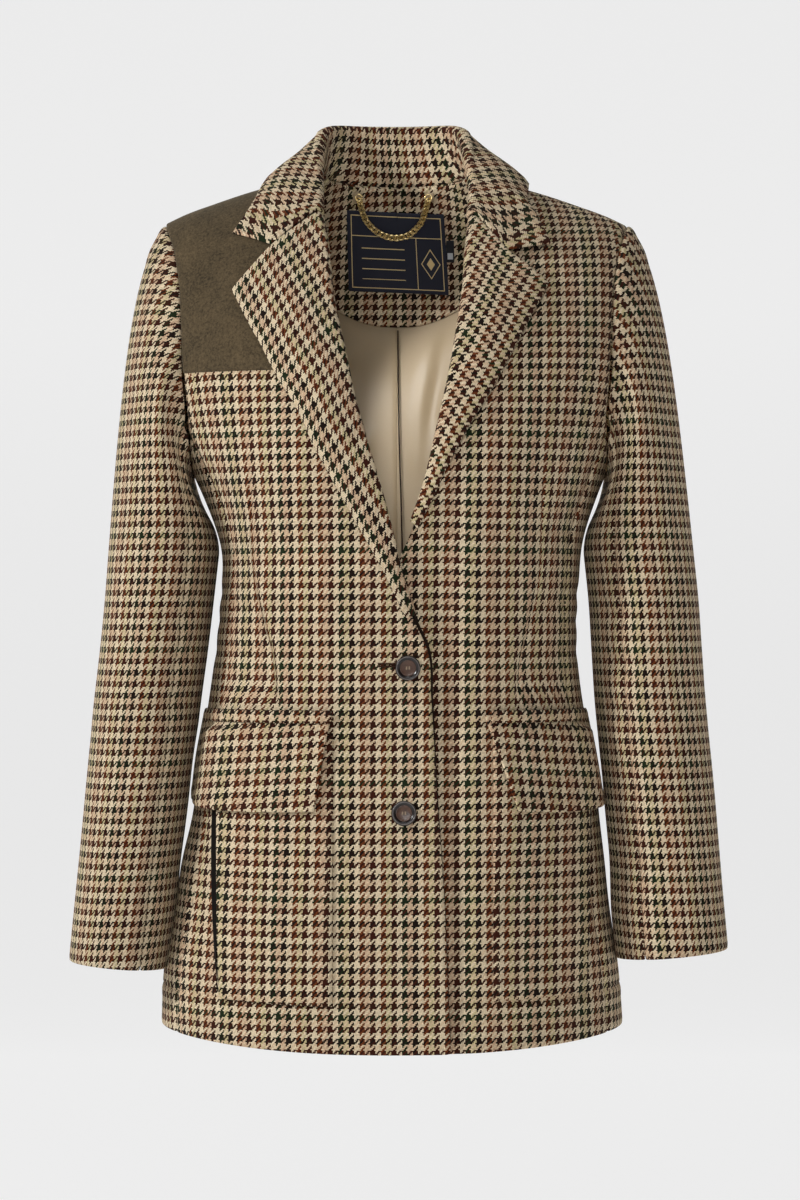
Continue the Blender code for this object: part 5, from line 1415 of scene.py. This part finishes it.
def buildFlap(side, tag):
    shape = pocketPlan[side]
    top = [flapTop, -0.4310, -0.4340, -0.4374]
    rows = np.concatenate([top, np.linspace(-0.4395, flapLow, 34), [flapLow + 0.6 * mm, flapLow + 1.6 * mm]])
    rows = np.unique(rows)[::-1, None]
    down = (flapTop - rows) / (flapTop - flapLow)
    start = angleAt(side, shape["flapTop"] + (shape["flapLow"] - shape["flapTop"]) * down, rows)
    share = np.unique(np.concatenate([np.linspace(0, 1, 52), [0.006, 0.014, 0.99]]))[None, :]
    a = start + (flapEnd - start) * share
    # The bottom edge bows: a little lower toward its front corner
    z = rows - 3.5 * mm * down ** 2 * np.sin(math.pi * share) - (1.5 + 4.0 * down) * mm * (1 - share)
    innerA, outerA = angleAt(side, shape["inner"], z), angleAt(side, shape["outer"], z)
    under = pocketOff(np.clip((a - innerA) / (outerA - innerA), 0, 1)) * smoothstep(math.radians(88), outerA + 0.03, a)
    hang = smoothstep(weltLow - 1.2 * mm, -0.4452, z)
    off = (layGap * 1.4 + tweedThick) * (1 - hang) + (under + layGap + tweedThick) * hang
    off = off + (1.6 * down + 2.0 * down ** 3 + 1.4 * bell(share, 0.05) * smoothstep(0, 0.4, down)) * mm
    # Its far end lies closer, toward the side
    off = np.maximum(off - 5.0 * mm * smoothstep(0.62, 0.95, share), 2.6 * mm)
    lie = frontLie(side, a, z)
    wave = 0.9 * mm * np.sin(9 * share + 1.2 * side) * down ** 1.5
    press = 0.35 * mm * (bell(0.9 - down, 0.05) - bell(1 - down, 0.03))
    # The flap is cut a little askew of the front's checks
    askew = np.stack([side * 0.06 * (z - flapLow), -0.0096 * (a - flapEnd)], axis=-1)
    piece = clothPiece("flap_" + tag, around(a, z, side, off + lie), wave + press, aroundMap(a, z, side) + askew)


def buildWelt(side, tag):
    rows = np.linspace(weltTop, weltLow, 12)[:, None]
    share = np.unique(np.concatenate([np.linspace(0, 1, 52), [0.006, 0.014, 0.99]]))[None, :]
    start = angleAt(side, pocketPlan[side]["welt"], rows)
    a = start + (weltEnd - start) * share
    z = rows + 0 * a
    off = layGap * 1.4 + tweedThick + 0.6 * mm + weltThick - 2.6 * mm * smoothstep(0.66, 0.92, share)
    puff = 0.7 * mm * np.sin(math.pi * (z - weltTop) / (weltLow - weltTop))
    points = around(a, z, side, off + frontLie(side, a, z))
    piece = clothPiece("welt_" + tag, points, puff, aroundMap(a, z, side), thick=weltThick)


for side, tag in sides:
    buildPocket(side, tag)
    buildFlap(side, tag)
    buildWelt(side, tag)
print("pockets made")


def turned(name, profile, centre, axis, paint, segments=72):
    # A body turned round an axis from (radius, height) rows
    across = unit(np.cross(axis, np.array([0, 0, 1.0])))
    up = np.cross(across, axis)
    turns = np.linspace(0, 2 * math.pi, segments, endpoint=False)[:, None]
    rows = np.array([(max(r, 1e-5), h) for r, h in profile])[:, :, None, None]
    points = centre + axis * rows[:, 1] + (across * np.cos(turns) + up * np.sin(turns)) * rows[:, 0]
    grid = np.arange(len(rows) * segments).reshape(-1, segments)
    return meshPiece(name, points.reshape(-1, 3), quads(grid, True), None, paint)


def tube(line, width, a, b, sides=8, closed=False):
    # Points and faces of a round wire along a line
    turns = np.linspace(0, 2 * math.pi, sides, endpoint=False)[:, None]
    points = line[:, None] + (a * np.cos(turns) + b * np.sin(turns)) * width
    return points.reshape(-1, 3), quads(np.arange(len(line) * sides).reshape(-1, sides), True, closed)


def bar(start, end, radius, normal, arch=0.0):
    # One rounded stitch from start to end
    t = np.linspace(0, 1, 7)
    line = start + (end - start) * t[:, None] + normal * (arch * np.sin(math.pi * t))[:, None]
    width = radius * np.sqrt(np.clip(1 - (2 * t - 1) ** 4, 0.02, 1))
    a = unit(np.cross(unit(end - start), normal))
    return tube(line, width[:, None, None], a, np.cross(a, unit(end - start)))


def joinParts(name, parts, paint, node=None):
    starts = np.cumsum([0] + [len(points) for points, _ in parts])
    faces = np.concatenate([f + start for (_, f), start in zip(parts, starts)])
    return settle(meshPiece(name, np.concatenate([p for p, _ in parts]), faces, None, paint), node)


buttonPlan = {
    "radius": 10 * mm,
    "places": (("button_upper", 0.0087, -0.3915, 1.0 * mm), ("button_lower", 0.0056, -0.5065, 0.4 * mm)),
    # Profiles: share of the radius, height in millimetres
    "body": ((0, 0), (0.78, 0), (0.92, 0.6), (0.99, 1.6), (1, 2.4), (0.985, 3.2), (0.93, 3.8), (0.85, 4.1), (0.77, 4.0),
             (0.70, 3.5), (0.64, 2.9), (0.56, 2.6), (0.30, 2.5), (0, 2.5)),
    "dish": ((0.66, 2.2), (0.64, 3.1), (0.58, 2.9), (0.30, 2.7), (0, 2.7)),
}


def buildButtons():
    r = buttonPlan["radius"]
    rim = [(r * 0.89 + 0.42 * mm * math.cos(t), (3.8 + 0.6 * math.sin(t)) * mm) for t in np.linspace(0, math.pi, 12)]
    body, dish = ([(r * share, h * mm) for share, h in buttonPlan[key]] for key in ("body", "dish"))
    for name, x, z, seat in buttonPlan["places"]:
        centre = skinAt(x, z, atFront, seat)
        axis = unit(centre - skinAt(x, z, atFront))
        settle(turned(name, body, centre, axis, paints["horn"]), name)
        # The rim ring carries the pale painted highlight
        settle(turned(name + "_rim", rim, centre, axis, paints["hornRimHighlight"]))
        settle(turned(name + "_dish", dish, centre, axis, paints["hornDish"]))
        across = unit(np.cross(axis, np.array([0, 0, 1.0])))
        up = np.cross(across, axis) * 1.6 * mm
        spots = [centre + axis * 2.9 * mm + across * (k * 1.1 + j * 0.8) * mm for k in (-1, 1) for j in (-0.4, 0.4)]
        # Brown threads whose pale tones are partly a painted highlight
        joinParts(name + "_thread", [bar(spot + up, spot - up, 0.3 * mm, axis, 0.5 * mm) for spot in spots],
                  paints["paleThreadHighlight"])


def buildHoles():
    # A worked buttonhole's end shows beside the upper button
    bars = []
    z = -0.3895
    for x in np.linspace(-0.0148, 0.0002, 22):
        n = outwardAt(x, z, atFront)
        for sign in (1, -1):
            near, far = (skinAt(x, z + sign * reach * mm, atFront, 0.6 * mm) for reach in (0.3, 1.9))
            bars.append(bar(near, far, 0.38 * mm, n, 0.3 * mm))
    joinParts("buttonhole_upper", bars, paints["darkThread"])


buildButtons()
buildHoles()
print("buttons made")

labelOff = -2 * tweedThick - 4.6 * mm
tabOff = -2 * tweedThick - 4.0 * mm


def insideTrim(name, x, z, off, thick, uv, paint):
    # A small flat piece inside the back
    outer, inner = skinAt(x, z, atBack, off), skinAt(x, z, atBack, off - thick)
    return settle(closeShell(name, outer, inner, np.stack(uv, axis=-1), paints[paint]), name)


def buildTrims():
    plan = labelPlan
    s, t = np.meshgrid(np.linspace(0, 1, 60), np.linspace(0, 1, 46))
    x = plan["corner"][0] + plan["wide"] * s + plan["lean"] * t
    z = plan["corner"][1] - plan["tall"] * t - plan["droop"] * (s - 0.5)
    swell = plan["swell"] * np.sin(math.pi * s) * np.sin(math.pi * t)
    piece = insideTrim("label", x, z, labelOff - swell, plan["thick"], (s * plan["wide"], t * plan["tall"]), "label")
    s, t = np.meshgrid(np.linspace(0, 6.6 * mm, 9), np.linspace(0, 17.5 * mm, 15))
    insideTrim("size_tab", 0.0438 + s, -0.0330 - t, labelOff, plan["thick"], (s, t), "tab")
    s, t = np.meshgrid(np.linspace(-3.5 * mm, 3.5 * mm, 9), np.linspace(0, 6.5 * mm, 9))
    for name, centre in (("chain_tab_right", -0.0362), ("chain_tab_left", 0.0300)):
        insideTrim(name, centre + s, 0.0055 - t, tabOff, 0.8 * mm, (s, t), "satin")


chainPlan = {  # the chain's route (x, z), and its links' half length, half width and wire
    "route": ((-0.0356, 0.0015), (-0.0302, -0.0130), (-0.0222, -0.0215), (-0.0140, -0.0265), (-0.0057, -0.0290),
              (0.0025, -0.0290), (0.0107, -0.0270), (0.0172, -0.0220), (0.0222, -0.0170), (0.0262, -0.0085),
              (0.0294, 0.0015)),
    "links": 24, "long": 3.1 * mm, "wide": 2.3 * mm, "wire": 0.82 * mm, "lean": (30, 38), "bulge": 1.9 * mm,
    "ring": 2.8 * mm, "ringWire": 0.5 * mm,
}


def linkPoints(centre, along, out, long, wide, wire, rounds=20):
    # One closed wire ring stretched along the chain
    turns = np.linspace(0, 2 * math.pi, rounds, endpoint=False)[:, None]
    ring = centre + along * long * np.cos(turns) + np.cross(along, out) * wide * np.sin(turns)
    move = unit(np.roll(ring, -1, axis=0) - np.roll(ring, 1, axis=0))
    return tube(ring, wire, np.cross(move, out)[:, None], out, closed=True)


def buildChain():
    # Curb links: each is twisted half over and laps the next
    plan = chainPlan
    at = np.linspace(0, 1, 400)
    line = curvePoints(np.linspace(0, 1, len(plan["route"])), plan["route"], at)
    bulge = plan["bulge"] * np.minimum(1, 2.4 * np.sin(math.pi * at))
    path = skinAt(line[:, 0], line[:, 1], atBack, tabOff - 2.6 * mm - bulge)
    reach = runs(path)
    toFront = np.array([0, -1.0, 0])

    def pathAt(spot):
        return np.array([np.interp(spot, reach, path[:, c]) for c in range(3)])

    links = []
    for k in range(plan["links"]):
        spot = reach[-1] * (k + 0.5) / plan["links"]
        along = unit(pathAt(spot + 1 * mm) - pathAt(spot - 1 * mm))
        out = unit(toFront - along * (toFront @ along))
        lean = math.radians(plan["lean"][k % 2])
        out = unit(out * math.cos(lean) + np.cross(along, out) * math.sin(lean))
        links.append(linkPoints(pathAt(spot), along, out, plan["long"], plan["wide"], plan["wire"]))
    for spot in (path[0], path[-1]):
        centre = spot + np.array([0, -0.2, 1.2]) * mm
        links.append(linkPoints(centre, np.array([0, 0, 1.0]), toFront, plan["ring"], plan["ring"], plan["ringWire"], 28))
    joinParts("hanger_chain", links, paints["chain"], "hanger_chain")


buildTrims()
buildChain()
print("label, tabs and chain made")


def shadeStrip(name, across, z, points, paint):
    # A narrow dark strip that is painted shade, laid under the edge above it
    uv = np.stack([across, z], axis=-1)
    settle(clothShell(name, points, 0 * z, uv, None, 0.4 * mm, paints[paint]))


def buildShadeStrips():
    u = np.linspace(0, 1, 6)[None, :]
    # The bellows' folded side beside the pocket's outer edge, coloured near-black as painted shade in its gap: widest
    # at its middle
    for side, tag in sides:
        shape = pocketPlan[side]
        share = np.linspace(0, 1, 60)[:, None]
        z = -0.480 + (shape["foldEnd"] + 0.480) * share + 0 * u
        swell = np.sin(math.pi * (0.25 + 0.75 * share)) ** 0.7
        own = shape["outer"] + 1.6 * mm + (shape["foldWide"] - 1.6 * mm) * swell * u
        points = around(angleAt(side, own, z), z, side, (3.4 - 2.7 * u) * mm + 0 * z)
        shadeStrip("pocket_fold_" + tag, own, z, points, "paintedDeepShade")
    # The painted shade in the lining's middle pleat: a dark strip
    z = np.linspace(-0.108, -0.420, 60)[:, None] + 0 * u
    x = curve(swayRows, z) + (0.2 + 1.1 * u) * mm
    off = -tweedThick - 7.6 * mm - 2.4 * mm * smoothstep(-0.108, -0.25, z)
    shadeStrip("pleat_painted_shade", x, z, skinAt(x, z, atBack, off), "paintedSoftShade")
    # The painted shade under the lapped front's edge: a dark strip
    z = np.linspace(-0.325, -0.687, 100)[:, None] + 0 * u
    wide = 3.0 * mm * smoothstep(-0.325, -0.350, z) * (1 - 0.5 * smoothstep(-0.37, -0.50, z))
    x = onRight * curve(openingRight, z) - 1.4 * mm + (1.4 * mm + wide) * u
    shadeStrip("front_edge_painted_shade", x, z, skinAt(x, z, atFront, 0.7 * mm - dipAt(x, z)), "paintedSoftShade")


stitchPlan = {"first": -0.512, "step": 5.2 * mm, "long": 2.6 * mm, "inset": 3.4 * mm, "radius": 0.36 * mm}


def buildStitches():
    # Short thread stitches down the pockets' inner edges
    plan = stitchPlan
    for side, tag in sides:
        shape = pocketPlan[side]
        own = shape["inner"] + plan["inset"]
        bars = []
        for top in np.arange(plan["first"], shape["bottom"], -plan["step"]):
            z = np.array([top, top - plan["long"]])
            a = angleAt(side, own, z)
            off = layGap + tweedThick + 0.6 * mm - (dipAt(own, z[:1]) if side == onLeft else 0)
            start, end = around(a, z, side, off)
            n = unit(around(a, z, side, off + 0.001) - around(a, z, side, off))[0]
            bars.append(bar(start, end, plan["radius"], n, 0.2 * mm))
        joinParts("pocket_stitches_" + tag, bars, paints["darkThread"])


buildShadeStrips()
buildStitches()
print("stitches made")
